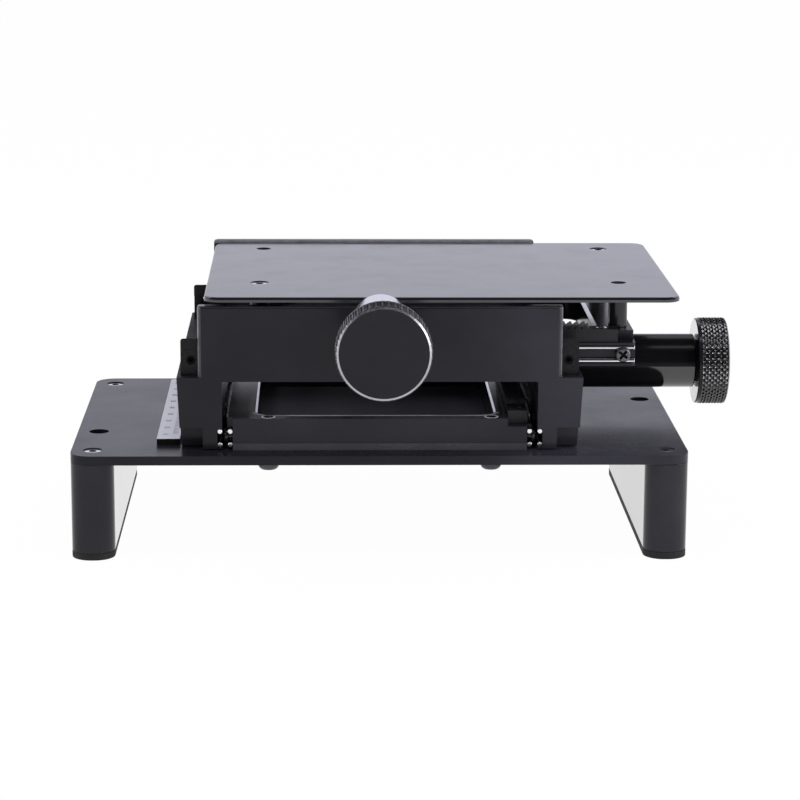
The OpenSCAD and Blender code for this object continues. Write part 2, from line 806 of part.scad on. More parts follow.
module carriage_frame() {
    color(anodised) difference() {
        translate([0, carriage_y, 0]) difference() {
            union() {
                side_bar(-1);
                side_bar(1);
                end_beam(-1, wall_t, wall_top);
                end_beam(1, back_wall_t, back_wall_top);
            }
            rod_slots_y();
            rod_slots_x();
            at_rod_set_screws() translate([0, 0, -seat_clear - cut])
                cylinder(d = screw_d + 2 * thread_clear, h = carriage_half_w - bar_inner_x + 2 * cut);
        }
        at_x_drive() barrel_seat(wall_t);
        at_y_drive() barrel_seat(side_bar_t);
    }
}

module carriage_side_rods(side) {
    color(bright_steel) translate([0, carriage_y, 0])
        rods_y(side * (y_track_x + rod_dx / 2), -carriage_half_len + rod_inset, carriage_half_len - rod_inset, y_track_z);
}

// The back rods end under their set screws
module carriage_beam_rods(side) {
    inset = side > 0 ? set_screw_inset : rod_inset;
    color(bright_steel) translate([0, carriage_y, 0])
        rods_x(side * (x_track_y + rod_dx / 2), -block_half_w + inset, block_half_w - inset, x_track_z);
}

module rod_set_screws() {
    color(screw_steel) translate([0, carriage_y, 0])
        at_rod_set_screws() translate([0, 0, set_screw_len]) mirror([0, 0, 1]) set_screw(set_screw_len);
}

// X carriage, drawn about its own middle and then set at its place

module at_x_frame() {
    translate([x_rest, carriage_y, 0]) children();
}

module at_x_stops() {
    for (sx = [-1, 1], sy = [-1, 1])
        translate([sx * (x_half_len - end_stop_inset), sy * x_track_y, x_track_z])
            rotate([0, 0, -sy * 90]) children();
}

module at_x_rack() {
    at_x_frame() translate([0, -x_half_w + rack_inset + rack_w / 2, x_frame_z + shelf_h]) children();
}

module x_frame() {
    opening_w = x_frame_len - 2 * x_end_w;
    opening_d = 2 * x_half_w - x_front_w - x_back_w;
    relief_z = y_axis_z + barrel_d / 2 + barrel_relief;
    color(anodised) at_x_frame() difference() {
        round_slab(x_frame_len, 2 * x_half_w, x_corner_r, x_frame_z, x_frame_top);
        translate([0, x_opening_y, 0])
            round_slab(opening_w, opening_d, opening_r, x_frame_z - cut, x_frame_top + cut);
        box(-x_frame_len, x_frame_len, -x_half_w - cut, -x_half_w + shelf_w, x_frame_z + shelf_h, x_frame_top + cut);
        for (s = [-1, 1]) {
            a = s * (x_track_y - slot_back);
            b = s * (x_half_w + cut);
            box(-x_frame_len, x_frame_len, min(a, b), max(a, b), x_track_z - slot_h / 2, x_track_z + slot_h / 2);
        }
        box(opening_w / 2 - cut, x_half_len + cut, -barrel_d / 2, barrel_d / 2, x_frame_z - cut, relief_z);
        at_x_stops() stop_hole();
        translate([0, -x_half_w + rack_inset + rack_w / 2, x_frame_z + shelf_h]) rack_screw_holes(x_rack_len);
        at_posts()
            bore_z(0, 0, screw_d + 2 * thread_clear, x_frame_top - post_stud_len - seat_clear, x_frame_top + cut);
    }
}

module x_rods(side) {
    color(bright_steel) at_x_frame()
        rods_x(side * (x_track_y - rod_dx / 2), -x_half_len + rod_inset, x_half_len - rod_inset, x_track_z);
}

module x_rack() {
    color(blackened) at_x_rack() rack(x_rack_len);
}

module x_rack_screws() {
    color(screw_steel) at_x_rack() rack_screws(x_rack_len);
}

module x_stop_screws() {
    color(screw_steel) at_x_frame() at_x_stops() stop_screw();
}

// Posts: the plate is screwed to one diagonal pair, the other pair takes accessories
module at_post_pair(diagonal) {
    for (s = [-1, 1])
        translate([s * post_x, s * diagonal > 0 ? post_back_y : post_front_y, 0]) children();
}

module at_posts() {
    at_post_pair(1) children();
    at_post_pair(-1) children();
}

module post(bore_d, bore_depth) {
    difference() {
        union() {
            bore_z(0, 0, post_d, x_frame_top, plate_z);
            bore_z(0, 0, screw_d, x_frame_top - post_stud_len, x_frame_top + cut);
        }
        bore_z(0, 0, bore_d, plate_z - bore_depth, plate_z + cut);
    }
}

module plate_posts() {
    color(blackened) at_x_frame() at_post_pair(1) post(screw_d + 2 * thread_clear, plate_screw_len);
}

module accessory_posts() {
    color(blackened) at_x_frame() at_post_pair(-1) post(accessory_bore_d, accessory_bore_depth);
}

module top_plate() {
    color(plate_finish) at_x_frame() difference() {
        translate([0, plate_d / 2 - carriage_half_len + plate_setback, 0])
            round_slab(plate_w, plate_d, plate_corner_r, plate_z, plate_top);
        at_post_pair(1) {
            bore_z(0, 0, screw_d + 2 * thread_clear, plate_z - cut, plate_top + cut);
            translate([0, 0, plate_top]) csk_sink();
        }
        at_post_pair(-1) bore_z(0, 0, accessory_hole_d, plate_z - cut, plate_top + cut);
    }
}

module top_plate_screws() {
    color(screw_steel) at_x_frame() at_post_pair(1) translate([0, 0, plate_top]) csk_screw(plate_screw_len);
}

// Ball cages and balls, half as far from the middle as the part they carry

function ball_place(k, len) = (k / (balls_per_cage - 1) - 0.5) * (len - 2 * ball_r - 4);

module cage_strip(len) {
    cage_h = rod_dz + rod_d - 0.8;
    difference() {
        box(-cage_t / 2, cage_t / 2, -len / 2, len / 2, -cage_h / 2, cage_h / 2);
        for (k = [0 : balls_per_cage - 1])
            translate([-cut, ball_place(k, len), 0]) rotate([0, 90, 0]) cylinder(r = ball_r + 0.05, h = 2 * cut);
    }
}

module cage_balls(len) {
    for (k = [0 : balls_per_cage - 1])
        translate([0, ball_place(k, len), 0]) sphere(r = ball_r, $fn = 32);
}

module at_y_tracks() {
    for (s = [-1, 1])
        translate([s * y_track_x, y_rest / 2, y_track_z]) children();
}

module at_x_tracks() {
    for (s = [-1, 1])
        translate([x_rest / 2, carriage_y + s * x_track_y, x_track_z]) rotate([0, 0, 90]) children();
}

module y_ball_cages() {
    color(bronze) at_y_tracks() cage_strip(y_cage_len);
}

module y_balls() {
    color(bright_steel) at_y_tracks() cage_balls(y_cage_len);
}

module x_ball_cages() {
    color(bronze) at_x_tracks() cage_strip(x_cage_len);
}

module x_balls() {
    color(bright_steel) at_x_tracks() cage_balls(x_cage_len);
}

base_plate();
leg(-1);  // left_leg
leg(1);  // right_leg
foot_pad(-1);  // left_foot_pad
foot_pad(1);  // right_foot_pad
base_plate_screws();
lower_frame();
lower_frame_screws();
lower_rods(-1);  // lower_left_rods
lower_rods(1);  // lower_right_rods
y_rack();
y_rack_screws();
y_scale();
y_stop_screws();
carriage_frame();
carriage_side_rods(-1);  // carriage_left_rods
carriage_side_rods(1);  // carriage_right_rods
carriage_beam_rods(-1);  // carriage_front_rods
carriage_beam_rods(1);  // carriage_back_rods
rod_set_screws();
color(blackened) at_x_drive() barrel(wall_t, x_barrel_len);  // x_barrel
color(bronze) at_x_drive() bushes(wall_t, x_barrel_len);  // x_bushes
color(screw_steel) at_x_drive() barrel_screws(wall_t);  // x_barrel_screws
color(nylon) at_x_drive() drag_washer(x_barrel_len);  // x_drag_washer
color(blackened) at_y_drive() barrel(side_bar_t, y_barrel_len);  // y_barrel
color(bronze) at_y_drive() bushes(side_bar_t, y_barrel_len);  // y_bushes
color(screw_steel) at_y_drive() barrel_screws(side_bar_t);  // y_barrel_screws
color(nylon) at_y_drive() drag_washer(y_barrel_len);  // y_drag_washer
x_frame();
x_rods(-1);  // x_front_rods
x_rods(1);  // x_back_rods
x_rack();
x_rack_screws();
x_stop_screws();
plate_posts();
accessory_posts();
top_plate();
top_plate_screws();
color(blackened) at_x_drive() knob(x_knob_back);  // x_knob
color(bright_steel) at_x_drive() shaft(wall_t, x_pinion_in, x_knob_back);  // x_shaft
color(bright_steel) at_x_drive() pinion(x_pinion_in, x_rest);  // x_pinion
color(screw_steel) at_x_drive() retaining_ring(wall_t);  // x_retaining_ring
color(screw_steel) at_x_drive() knob_set_screw(x_knob_back);  // x_knob_set_screw
color(blackened) at_y_drive() knob(y_knob_back);  // y_knob
color(bright_steel) at_y_drive() shaft(side_bar_t, y_pinion_in, y_knob_back);  // y_shaft
color(bright_steel) at_y_drive() pinion(y_pinion_in, -y_rest - y_drive_shift);  // y_pinion
color(screw_steel) at_y_drive() retaining_ring(side_bar_t);  // y_retaining_ring
color(screw_steel) at_y_drive() knob_set_screw(y_knob_back);  // y_knob_set_screw
y_ball_cages();
y_balls();
x_ball_cages();
x_balls();
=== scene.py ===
"""Looks of a two-axis mechanical stage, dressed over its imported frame.

X runs to the right, Y to the back and Z up, in metres, with the origin in the middle of the base plate on the floor.
"""

from __future__ import annotations

import json
import logging
import math
from dataclasses import dataclass, field
from enum import Enum, IntEnum
from typing import Callable, Sequence

import bmesh
import bpy
from bmesh.types import BMEdge, BMesh, BMFace, BMVert
from bpy.types import ID, Material, Mesh, Node, NodeOutputs, NodeSocket, NodeTree, Object
from mathutils import Matrix, Vector

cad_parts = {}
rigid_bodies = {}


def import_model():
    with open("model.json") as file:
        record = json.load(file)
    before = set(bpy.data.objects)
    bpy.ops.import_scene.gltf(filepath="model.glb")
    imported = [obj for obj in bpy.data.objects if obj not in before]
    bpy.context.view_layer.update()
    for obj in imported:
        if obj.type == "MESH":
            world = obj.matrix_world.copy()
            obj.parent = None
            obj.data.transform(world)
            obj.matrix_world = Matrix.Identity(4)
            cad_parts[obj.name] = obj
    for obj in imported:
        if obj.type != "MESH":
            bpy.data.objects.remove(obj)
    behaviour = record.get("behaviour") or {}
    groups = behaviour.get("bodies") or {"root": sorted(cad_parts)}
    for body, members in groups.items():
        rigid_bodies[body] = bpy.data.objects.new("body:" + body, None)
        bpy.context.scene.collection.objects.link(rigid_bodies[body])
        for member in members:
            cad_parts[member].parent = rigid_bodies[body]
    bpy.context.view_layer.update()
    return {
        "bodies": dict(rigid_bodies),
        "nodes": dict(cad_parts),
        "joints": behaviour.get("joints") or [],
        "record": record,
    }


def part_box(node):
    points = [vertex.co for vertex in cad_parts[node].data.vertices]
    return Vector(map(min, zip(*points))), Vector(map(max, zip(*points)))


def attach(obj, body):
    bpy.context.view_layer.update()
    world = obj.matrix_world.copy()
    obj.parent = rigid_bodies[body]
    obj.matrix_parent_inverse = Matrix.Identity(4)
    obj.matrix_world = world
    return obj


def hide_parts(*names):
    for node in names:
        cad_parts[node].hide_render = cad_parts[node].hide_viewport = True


MM = 0.001
log = logging.getLogger("stage")

# Points this close together are one, and points this near a plane count as on it
SAME_POINT = 0.002 * MM
ON_PLANE = 0.01 * MM
NEAR_PLANE = 0.05 * MM
# Faces that turn by less are one face
FLAT_TURN = math.radians(0.6)
# Edges that turn by more are corners, and on a piece with a bare chamfer those past the second are eased
SHARP_TURN = math.radians(40)
RIMMED_TURN = math.radians(50)
# Degrees past which an edge of a smooth piece stays sharp
SMOOTH_TURN = 35.0
# Eased edges of small pieces, racks, balls and ball cages
SMALL_EDGE = 0.12 * MM
RACK_EDGE = 0.08 * MM
BALL_EDGE = 0.01 * MM
CAGE_EDGE = 0.06 * MM
# A skin of painted glint on a surface reaches from just inside it to just above it
SKIN_SINK = -0.02 * MM
SKIN_LIFT = 0.012 * MM
# Scale marks and numbers
MARK_LIFT = 0.01 * MM
MARK_HEIGHT = 0.03 * MM
LONGER_MARK = 0.45
DIGIT_SCALE = 1.4
DIGIT_DEPTH = 0.015 * MM
# Share of a cross recess's size that is half the width of an arm
CROSS_ARM = 0.26
# Y between the front and the back row of screws whose heads look to the front or back
ROWS_MIDDLE = 5 * MM
# The middle of a noise's range, and the octaves of the two noises of a finish
NOISE_SPAN = (0.3, 0.7)
CLOUD_DETAIL = 4.0
GRAIN_DETAIL = 2.0
GRAIN_SHEEN = 0.03
FINE = (5200.0, 5200.0, 5200.0)
# Where painted light makes the black lighter along X, towards the right side
PAINTED_LIGHT_SPAN = (20 * MM, 62 * MM)
WHITE = (1.0, 1.0, 1.0, 1.0)

Colour = tuple[float, float, float]
Ring = tuple[float, float]
Pick = Callable[[Vector], bool]
Reshape = Callable[[BMesh], None]


def add_node(tree: NodeTree, kind: str, inputs: dict | None = None, **settings: object) -> Node:
    """Adds one node to a tree.

    Args:
        tree: the tree.
        kind: the node's type name.
        inputs: for an input's name or number, the socket that is joined to it or the value that is set on it.
        settings: attributes to set on the node.

    Returns:
        The new node.
    """
    node = tree.nodes.new(kind)
    for key, value in settings.items():
        setattr(node, key, value)
    for key, value in (inputs or {}).items():
        if isinstance(value, NodeSocket):
            tree.links.new(value, node.inputs[key])
        else:
            node.inputs[key].default_value = value
    return node


class Canvas:
    """Adds shader nodes to one material or world and joins them."""

    def __init__(self, owner: ID, output: str = "ShaderNodeOutputMaterial") -> None:
        """Starts with nothing but an output.

        Args:
            owner: the material or world.
            output: type name of its output node.
        """
        owner.use_nodes = True
        self.tree = owner.node_tree
        self.tree.nodes.clear()
        self.output = self.add(output)

    def add(self, kind: str, inputs: dict | None = None, **settings: object) -> Node:
        """Adds one node, as add_node does."""
        return add_node(self.tree, kind, inputs, **settings)

    def close(self, surface: NodeSocket) -> None:
        """Joins the finished shader to the output."""
        self.tree.links.new(surface, self.output.inputs["Surface"])

    def math(self, kind: str, first: object, second: object) -> NodeSocket:
        """Joins two sockets or values by one sum, product or choice."""
        return self.add("ShaderNodeMath", {0: first, 1: second}, operation=kind).outputs[0]

    def ramp(self, value: NodeSocket, start: float, end: float, low: float, high: float,
             kind: str = "SMOOTHSTEP") -> NodeSocket:
        """Maps a value from one range to another.

        Args:
            value: the value.
            start: where the given range starts.
            end: where it ends.
            low: result at its start.
            high: result at its end.
            kind: how the result runs between them.

        Returns:
            The mapped value.
        """
        return self.add("ShaderNodeMapRange", {"Value": value, "From Min": start, "From Max": end, "To Min": low,
                                               "To Max": high}, interpolation_type=kind).outputs["Result"]

    def place(self, scale: Sequence[float]) -> NodeSocket:
        """Gives Object coordinates stretched by a scale, in cells per metre."""
        coords = self.add("ShaderNodeTexCoord").outputs["Object"]
        return self.add("ShaderNodeMapping", {"Vector": coords, "Scale": scale}).outputs["Vector"]

    def noise(self, scale: Sequence[float], detail: float) -> NodeSocket:
        """Gives a noise with this many cells per metre along each axis and this many octaves."""
        settings = {"Vector": self.place(scale), "Scale": 1.0, "Detail": detail}
        return self.add("ShaderNodeTexNoise", settings).outputs["Fac"]

    def remap(self, value: NodeSocket, low: float, high: float) -> NodeSocket:
        """Maps the middle of a noise to the range from low to high."""
        return self.ramp(value, *NOISE_SPAN, low, high, "LINEAR")

    def blend(self, value: NodeSocket, first: Colour, second: Colour) -> NodeSocket:
        """Mixes two colours by a noise."""
        return self.add("ShaderNodeMix", {0: self.remap(value, 0.0, 1.0), 6: (*first, 1.0), 7: (*second, 1.0)},
                        data_type="RGBA").outputs[2]

    def bump(self, height: NodeSocket, depth: float, strength: float) -> NodeSocket:
        """Turns a height into a bumped normal.

        Args:
            height: the height value.
            depth: what a height of 1 means, in metres.
            strength: how much of it shows.

        Returns:
            The normal.
        """
        relief = {"Height": height, "Distance": depth, "Strength": strength}
        return self.add("ShaderNodeBump", relief).outputs["Normal"]


@dataclass(frozen=True)
class Finish:
    """A surface finish with two tones, an uneven sheen, a fine relief and painted light that can make it lighter
    towards the right side.
    """

    name: str
    dark: Colour
    light: Colour
    metallic: float
    rough_low: float
    rough_high: float
    grain: tuple[float, float, float] = FINE
    grain_depth: float = 0.00001
    grain_strength: float = 0.2
    cloud: float = 45.0
    specular: float = 0.5
    coat: float = 0.0
    coat_rough: float = 0.2
    # How much lighter painted light makes the finish at the right side
    right_tone: float = 1.0

    def material(self) -> Material:
        """Builds the finish, or gives the one built before.

        Returns:
            The material.
        """
        known = bpy.data.materials.get(self.name)
        if known is not None:
            return known
        made = bpy.data.materials.new(self.name)
        canvas = Canvas(made)
        cloud = canvas.noise((self.cloud, self.cloud, self.cloud), CLOUD_DETAIL)
        grain = canvas.noise(self.grain, GRAIN_DETAIL)
        tone = canvas.blend(cloud, self.dark, self.light)
        if self.right_tone != 1.0:
            tone = self._lit_right(canvas, tone)
        rough = canvas.math("ADD", canvas.remap(cloud, self.rough_low, self.rough_high),
                            canvas.remap(grain, -GRAIN_SHEEN, GRAIN_SHEEN))
        shader = canvas.add("ShaderNodeBsdfPrincipled", {
            "Base Color": tone, "Roughness": rough, "Metallic": self.metallic, "Specular IOR Level": self.specular,
            "Coat Weight": self.coat, "Coat Roughness": self.coat_rough,
            "Normal": canvas.bump(grain, self.grain_depth, self.grain_strength)})
        canvas.close(shader.outputs["BSDF"])
        return made

    def _lit_right(self, canvas: Canvas, tone: NodeSocket) -> NodeSocket:
        """Paints light on the tone, making it lighter towards the object's right side.

        Args:
            canvas: the material being built.
            tone: the colour so far.

        Returns:
            The colour with the side tone in it.
        """
        parts = canvas.add("ShaderNodeSeparateXYZ", {0: canvas.place((1.0, 1.0, 1.0))})
        painted_lighter = canvas.ramp(parts.outputs["X"], *PAINTED_LIGHT_SPAN, 1.0, self.right_tone)
        return canvas.add("ShaderNodeVectorMath", {0: tone, "Scale": painted_lighter}, operation="SCALE").outputs[0]


# Some of these finishes are painted lighter towards the right side, as painted light
SATIN_BLACK = Finish("satin_black_anodised", (0.0098, 0.0092, 0.0120), (0.0145, 0.0137, 0.0180), 0.0, 0.15, 0.23,
                     grain_strength=0.15, specular=0.2, right_tone=2.1)
LEG_BLACK = Finish("leg_black_anodised", (0.0150, 0.0145, 0.0175), (0.0200, 0.0195, 0.0235), 0.0, 0.07, 0.12,
                   grain_strength=0.06, specular=0.2, right_tone=1.5)
BASE_BLACK = Finish("base_black_anodised", (0.0105, 0.0100, 0.0130), (0.0155, 0.0149, 0.0193), 0.0, 0.21, 0.30,
                    grain_strength=0.3, specular=0.135, right_tone=2.6)
PLATE_BLACK = Finish("plate_black_anodised", (0.014, 0.014, 0.019), (0.028, 0.028, 0.036), 0.0, 0.10, 0.20,
                     (1500.0, 2600.0, 2600.0), grain_strength=0.22, cloud=60.0, specular=0.8, right_tone=1.5)
FRAME_BRUSHED = Finish("brushed_black_anodised", (0.0135, 0.0130, 0.0165), (0.0220, 0.0210, 0.0270), 0.0, 0.14, 0.24,
                       (5200.0, 420.0, 5200.0), grain_strength=0.3, specular=0.2)
BLOCK_CAST = Finish("rough_block_black", (0.003, 0.003, 0.004), (0.014, 0.014, 0.016), 0.0, 0.22, 0.45,
                    (1700.0, 1700.0, 1700.0), grain_depth=0.00012, grain_strength=0.9, cloud=900.0, specular=0.2)
# The side barrel's top reflects weakly, as painted shade, and its underside strongly, to pick up the floor's light
GLOSS_BLACK = Finish("gloss_black_anodised", (0.004, 0.004, 0.005), (0.007, 0.007, 0.008), 0.0, 0.18, 0.24,
                     (2600.0, 2600.0, 2600.0), grain_strength=0.03, specular=0.12)
GLOSS_LIT_UNDERSIDE = Finish("barrel_underside_reflecting_black", (0.004, 0.004, 0.005), (0.007, 0.007, 0.008), 0.0, 0.06, 0.10,
                     (2600.0, 2600.0, 2600.0), grain_strength=0.03, specular=1.0)
KNOB_BLACK = Finish("knob_black_anodised", (0.0102, 0.0097, 0.0124), (0.0145, 0.0140, 0.0178), 0.0, 0.14, 0.20,
                    grain_strength=0.08, specular=0.2)
KNURL_BLACK = Finish("knurl_black_anodised", (0.006, 0.006, 0.007), (0.010, 0.010, 0.012), 0.0, 0.12, 0.18,
                     grain_strength=0.06, specular=1.0)
KNURL_TIP = Finish("rubbed_knurl_tips", (0.19, 0.19, 0.20), (0.38, 0.38, 0.39), 0.9, 0.16, 0.26,
                   grain_strength=0.1, cloud=420.0)
KNOB_BACK = Finish("turned_knob_back", (0.54, 0.54, 0.55), (0.62, 0.62, 0.63), 1.0, 0.10, 0.18,
                   (4200.0, 4200.0, 4200.0), grain_strength=0.08)
BARREL_BARE = Finish("bare_barrel_aluminium", (0.60, 0.60, 0.64), (0.72, 0.72, 0.76), 1.0, 0.22, 0.32,
                     (700.0, 5200.0, 5200.0), grain_strength=0.2)
KNOB_RIM = Finish("knob_rim_aluminium", (0.40, 0.40, 0.42), (0.54, 0.54, 0.56), 1.0, 0.28, 0.38,
                  (4200.0, 4200.0, 4200.0), grain_strength=0.2, cloud=160.0)
BARE_RIM = Finish("turned_bare_aluminium", (0.50, 0.50, 0.53), (0.64, 0.64, 0.68), 1.0, 0.16, 0.26,
                  (4200.0, 4200.0, 4200.0), grain_strength=0.15)
ROD_STEEL = Finish("ground_rod_steel", (0.74, 0.75, 0.77), (0.84, 0.85, 0.87), 1.0, 0.10, 0.16,
                   (3400.0, 3400.0, 3400.0), grain_strength=0.06)
GEAR_STEEL = Finish("cut_gear_steel", (0.42, 0.42, 0.44), (0.56, 0.56, 0.58), 1.0, 0.24, 0.34, grain_strength=0.2)
RACK_BLACK = Finish("blackened_rack_steel", (0.022, 0.022, 0.025), (0.034, 0.034, 0.038), 0.0, 0.30, 0.40,
                    (5200.0, 5200.0, 900.0), grain_strength=0.06, specular=0.15)
SCREW_BLACK = Finish("black_oxide_screw", (0.050, 0.050, 0.054), (0.085, 0.085, 0.090), 0.85, 0.20, 0.30,
                     grain_strength=0.2)
SCREW_STEEL = Finish("worn_screw_steel", (0.72, 0.72, 0.74), (0.94, 0.94, 0.96), 1.0, 0.10, 0.20,
                     grain_strength=0.2, cloud=500.0)
STOP_STEEL = Finish("grey_stop_screw", (0.075, 0.075, 0.078), (0.16, 0.16, 0.165), 0.7, 0.20, 0.32,
                    grain_strength=0.4, cloud=700.0)
# A light colour painted on the legs' inner faces, as a painted reflection of the white surroundings
LEG_PAINTED_REFLECTION = Finish("leg_inner_painted_reflection", (0.28, 0.26, 0.28), (0.34, 0.315, 0.34), 0.35, 0.06, 0.12,
                   grain_strength=0.05, specular=0.85, coat=0.35, coat_rough=0.08)
# Light grey painted on the back wall's upper part, as a painted reflection
LIP_PAINTED_REFLECTION = Finish("back_lip_painted_reflection", (0.112, 0.112, 0.122), (0.160, 0.160, 0.174), 0.2, 0.3, 0.45,
                  (2600.0, 5200.0, 5200.0), grain_strength=0.3, cloud=300.0)
# A lighter band painted along the lower frame's foot, as painted light
FOOT_PAINTED_LIGHT = Finish("frame_foot_painted_light", (0.040, 0.039, 0.046), (0.058, 0.056, 0.066), 0.0, 0.2, 0.3,
                   (420.0, 5200.0, 5200.0), grain_strength=0.3, specular=0.3)
POST_BLACK = Finish("post_black", (0.014, 0.014, 0.016), (0.020, 0.020, 0.023), 0.0, 0.10, 0.17,
                    (6400.0, 6400.0, 700.0), grain_strength=0.12, specular=0.42)
BRONZE = Finish("bush_bronze", (0.46, 0.30, 0.13), (0.58, 0.40, 0.19), 1.0, 0.28, 0.38)
CAGE_STEEL = Finish("cage_strip_steel", (0.52, 0.52, 0.53), (0.66, 0.66, 0.67), 1.0, 0.22, 0.32,
                    (4200.0, 300.0, 4200.0))
NYLON = Finish("washer_black_nylon", (0.010, 0.010, 0.010), (0.016, 0.016, 0.016), 0.0, 0.42, 0.52,
               grain_strength=0.1, specular=0.3)
RUBBER = Finish("foot_rubber", (0.008, 0.008, 0.008), (0.019, 0.019, 0.019), 0.0, 0.60, 0.85,
                (1300.0, 1300.0, 1300.0), grain_depth=0.00015, grain_strength=0.9, cloud=350.0, specular=0.3)
SCALE_METAL = Finish("satin_scale_metal", (0.50, 0.50, 0.545), (0.62, 0.62, 0.67), 0.3, 0.28, 0.38,
                     (5200.0, 300.0, 5200.0), grain_strength=0.3)
MARK_BLACK = Finish("scale_mark_paint", (0.20, 0.20, 0.215), (0.30, 0.30, 0.32), 0.0, 0.5, 0.6)
MARK_PALE = Finish("scale_mark_pale", (0.36, 0.36, 0.39), (0.44, 0.44, 0.47), 0.0, 0.5, 0.6)
# Painted highlights on the front wall's rounded corners, a softer one and a lighter one
CORNER_HALF_HIGHLIGHT = Finish("corner_half_highlight_black", (0.026, 0.026, 0.031), (0.038, 0.038, 0.044), 0.0, 0.24, 0.34,
                   (5200.0, 5200.0, 700.0), grain_strength=0.2, cloud=260.0, specular=0.4)
CORNER_PAINTED_HIGHLIGHT = Finish("corner_painted_highlight_black", (0.075, 0.075, 0.087), (0.130, 0.130, 0.148), 0.0, 0.24, 0.34,
                    (5200.0, 5200.0, 700.0), grain_strength=0.2, cloud=260.0, specular=0.6)
# A light colour laid on as painted glints along the lower frame's window edge and round its screw holes
PAINTED_GLINT = Finish("painted_glint_metal", (0.42, 0.42, 0.45), (0.80, 0.80, 0.84), 0.15, 0.4, 0.5,
                   grain_strength=0.2, cloud=120.0)
# A lighter colour painted on the base plate's top inside the lower frame, as painted light where it lies in shade
BASE_PAINTED_LIGHT = Finish("base_inside_painted_light", (0.125, 0.120, 0.143), (0.175, 0.168, 0.198), 0.0, 0.5, 0.6,
                     grain_strength=0.2, specular=0.08)
DULL_BLACK = Finish("dull_bar_black", (0.014, 0.014, 0.016), (0.022, 0.022, 0.025), 0.0, 0.5, 0.6,
                    grain_strength=0.3, specular=0.1)
# Black painted as shade in recess linings, on sunk set screws, on the scale's front end and on the plate's front
# chamfer
PAINTED_SHADE_BLACK = Finish("shaded_end_black", (0.004, 0.004, 0.004), (0.007, 0.007, 0.007), 0.0, 0.5, 0.6, specular=0.1)


def place_piece(name: str, data: ID) -> Object:
    """Makes an object of some data, at the origin of the scene.

    Args:
        name: the object's name.
        data: its mesh, curve, lamp or camera.

    Returns:
        The new object.
    """
    piece = bpy.data.objects.new(name, data)
    bpy.context.scene.collection.objects.link(piece)
    return piece


def smoothed(mesh: Mesh, edge: float) -> None:
    """Shades a mesh smooth, with its edges past this angle in degrees sharp."""
    mesh.polygons.foreach_set("use_smooth", [True] * len(mesh.polygons))
    mesh.set_sharp_from_angle(angle=math.radians(edge))


def show(mesh: Mesh, name: str, finishes: Sequence[Finish], edge: float = SMOOTH_TURN) -> Object:
    """Puts a mesh into the scene as a finished piece.

    Args:
        mesh: the mesh, already in its place.
        name: the piece's name.
        finishes: one for each material index.
        edge: angle in degrees past which an edge stays sharp.

    Returns:
        The new object, at the origin.
    """
    for finish in finishes:
        mesh.materials.append(finish.material())
    smoothed(mesh, edge)
    return place_piece(name, mesh)


def evaluated(piece: Object) -> Mesh:
    """Gives a new mesh of a piece as its modifiers or its text make it."""
    graph = bpy.context.evaluated_depsgraph_get()
    return bpy.data.meshes.new_from_object(piece.evaluated_get(graph), depsgraph=graph)


def flatten(piece: Object) -> None:
    """Applies every modifier of a piece and clears them.

    Args:
        piece: the piece.
    """
    baked = evaluated(piece)
    piece.modifiers.clear()
    piece.data = baked


def mesh_from(shape: BMesh, name: str) -> Mesh:
    """Turns a bmesh into a mesh and frees it.

    Args:
        shape: the bmesh.
        name: the mesh's name.

    Returns:
        The mesh.
    """
    mesh = bpy.data.meshes.new(name)
    shape.to_mesh(mesh)
    shape.free()
    return mesh


def merged(node: str) -> BMesh:
    """Copies a node's mesh with its doubles merged.

    Args:
        node: the node's name.

    Returns:
        The bmesh, to be freed by the caller.
    """
    shape = bmesh.new()
    shape.from_mesh(FRAME["nodes"][node].data)
    bmesh.ops.remove_doubles(shape, verts=shape.verts, dist=SAME_POINT)
    return shape


def whole_faced(node: str) -> BMesh:
    """Copies a node's mesh with its doubles merged and its flat faces whole.

    Args:
        node: the node's name.

    Returns:
        The bmesh, to be freed by the caller.
    """
    shape = merged(node)
    bmesh.ops.dissolve_limit(shape, angle_limit=FLAT_TURN, verts=shape.verts, edges=shape.edges)
    bmesh.ops.recalc_face_normals(shape, faces=shape.faces)
    return shape


def box_round(points: Sequence[Vector]) -> tuple[Vector, ...]:
    """Gives the lowest and the highest corner of the box round some points."""
    return tuple(Vector([end(point[i] for point in points) for i in range(3)]) for end in (min, max))


def islands(node: str) -> list[tuple[Vector, Vector]]:
    """Finds the box of each separate solid of a node.

    Args:
        node: the node's name.

    Returns:
        Lowest and highest corner of each solid, sorted by place.
    """
    shape = merged(node)
    met: set[BMVert] = set()
    found = []
    for start in shape.verts:
        if start in met:
            continue
        group = [start]
        met.add(start)
        for vert in group:
            for edge in vert.link_edges:
                other = edge.other_vert(vert)
                if other not in met:
                    met.add(other)
                    group.append(other)
        found.append(box_round([vert.co for vert in group]))
    shape.free()
    return sorted(found, key=lambda pair: tuple(round(c, 5) for c in pair[0]))


def middle_of(edge: BMEdge) -> Vector:
    """Gives the middle of an edge."""
    return (edge.verts[0].co + edge.verts[1].co) / 2


def is_corner(edge: BMEdge) -> bool:
    """Tells whether the faces beside an edge meet at a corner."""
    return edge.calc_face_angle(0.0) > SHARP_TURN


def lies_at(edge: BMEdge, level: float) -> bool:
    """Tells whether an edge lies at this height."""
    return all(abs(vert.co.z - level) < ON_PLANE for vert in edge.verts)


def within(point: Vector, spans: Sequence[tuple[float, float]]) -> bool:
    """Tells whether a point's X and Y lie between these limits."""
    return all(start < point[axis] < end for axis, (start, end) in enumerate(spans))


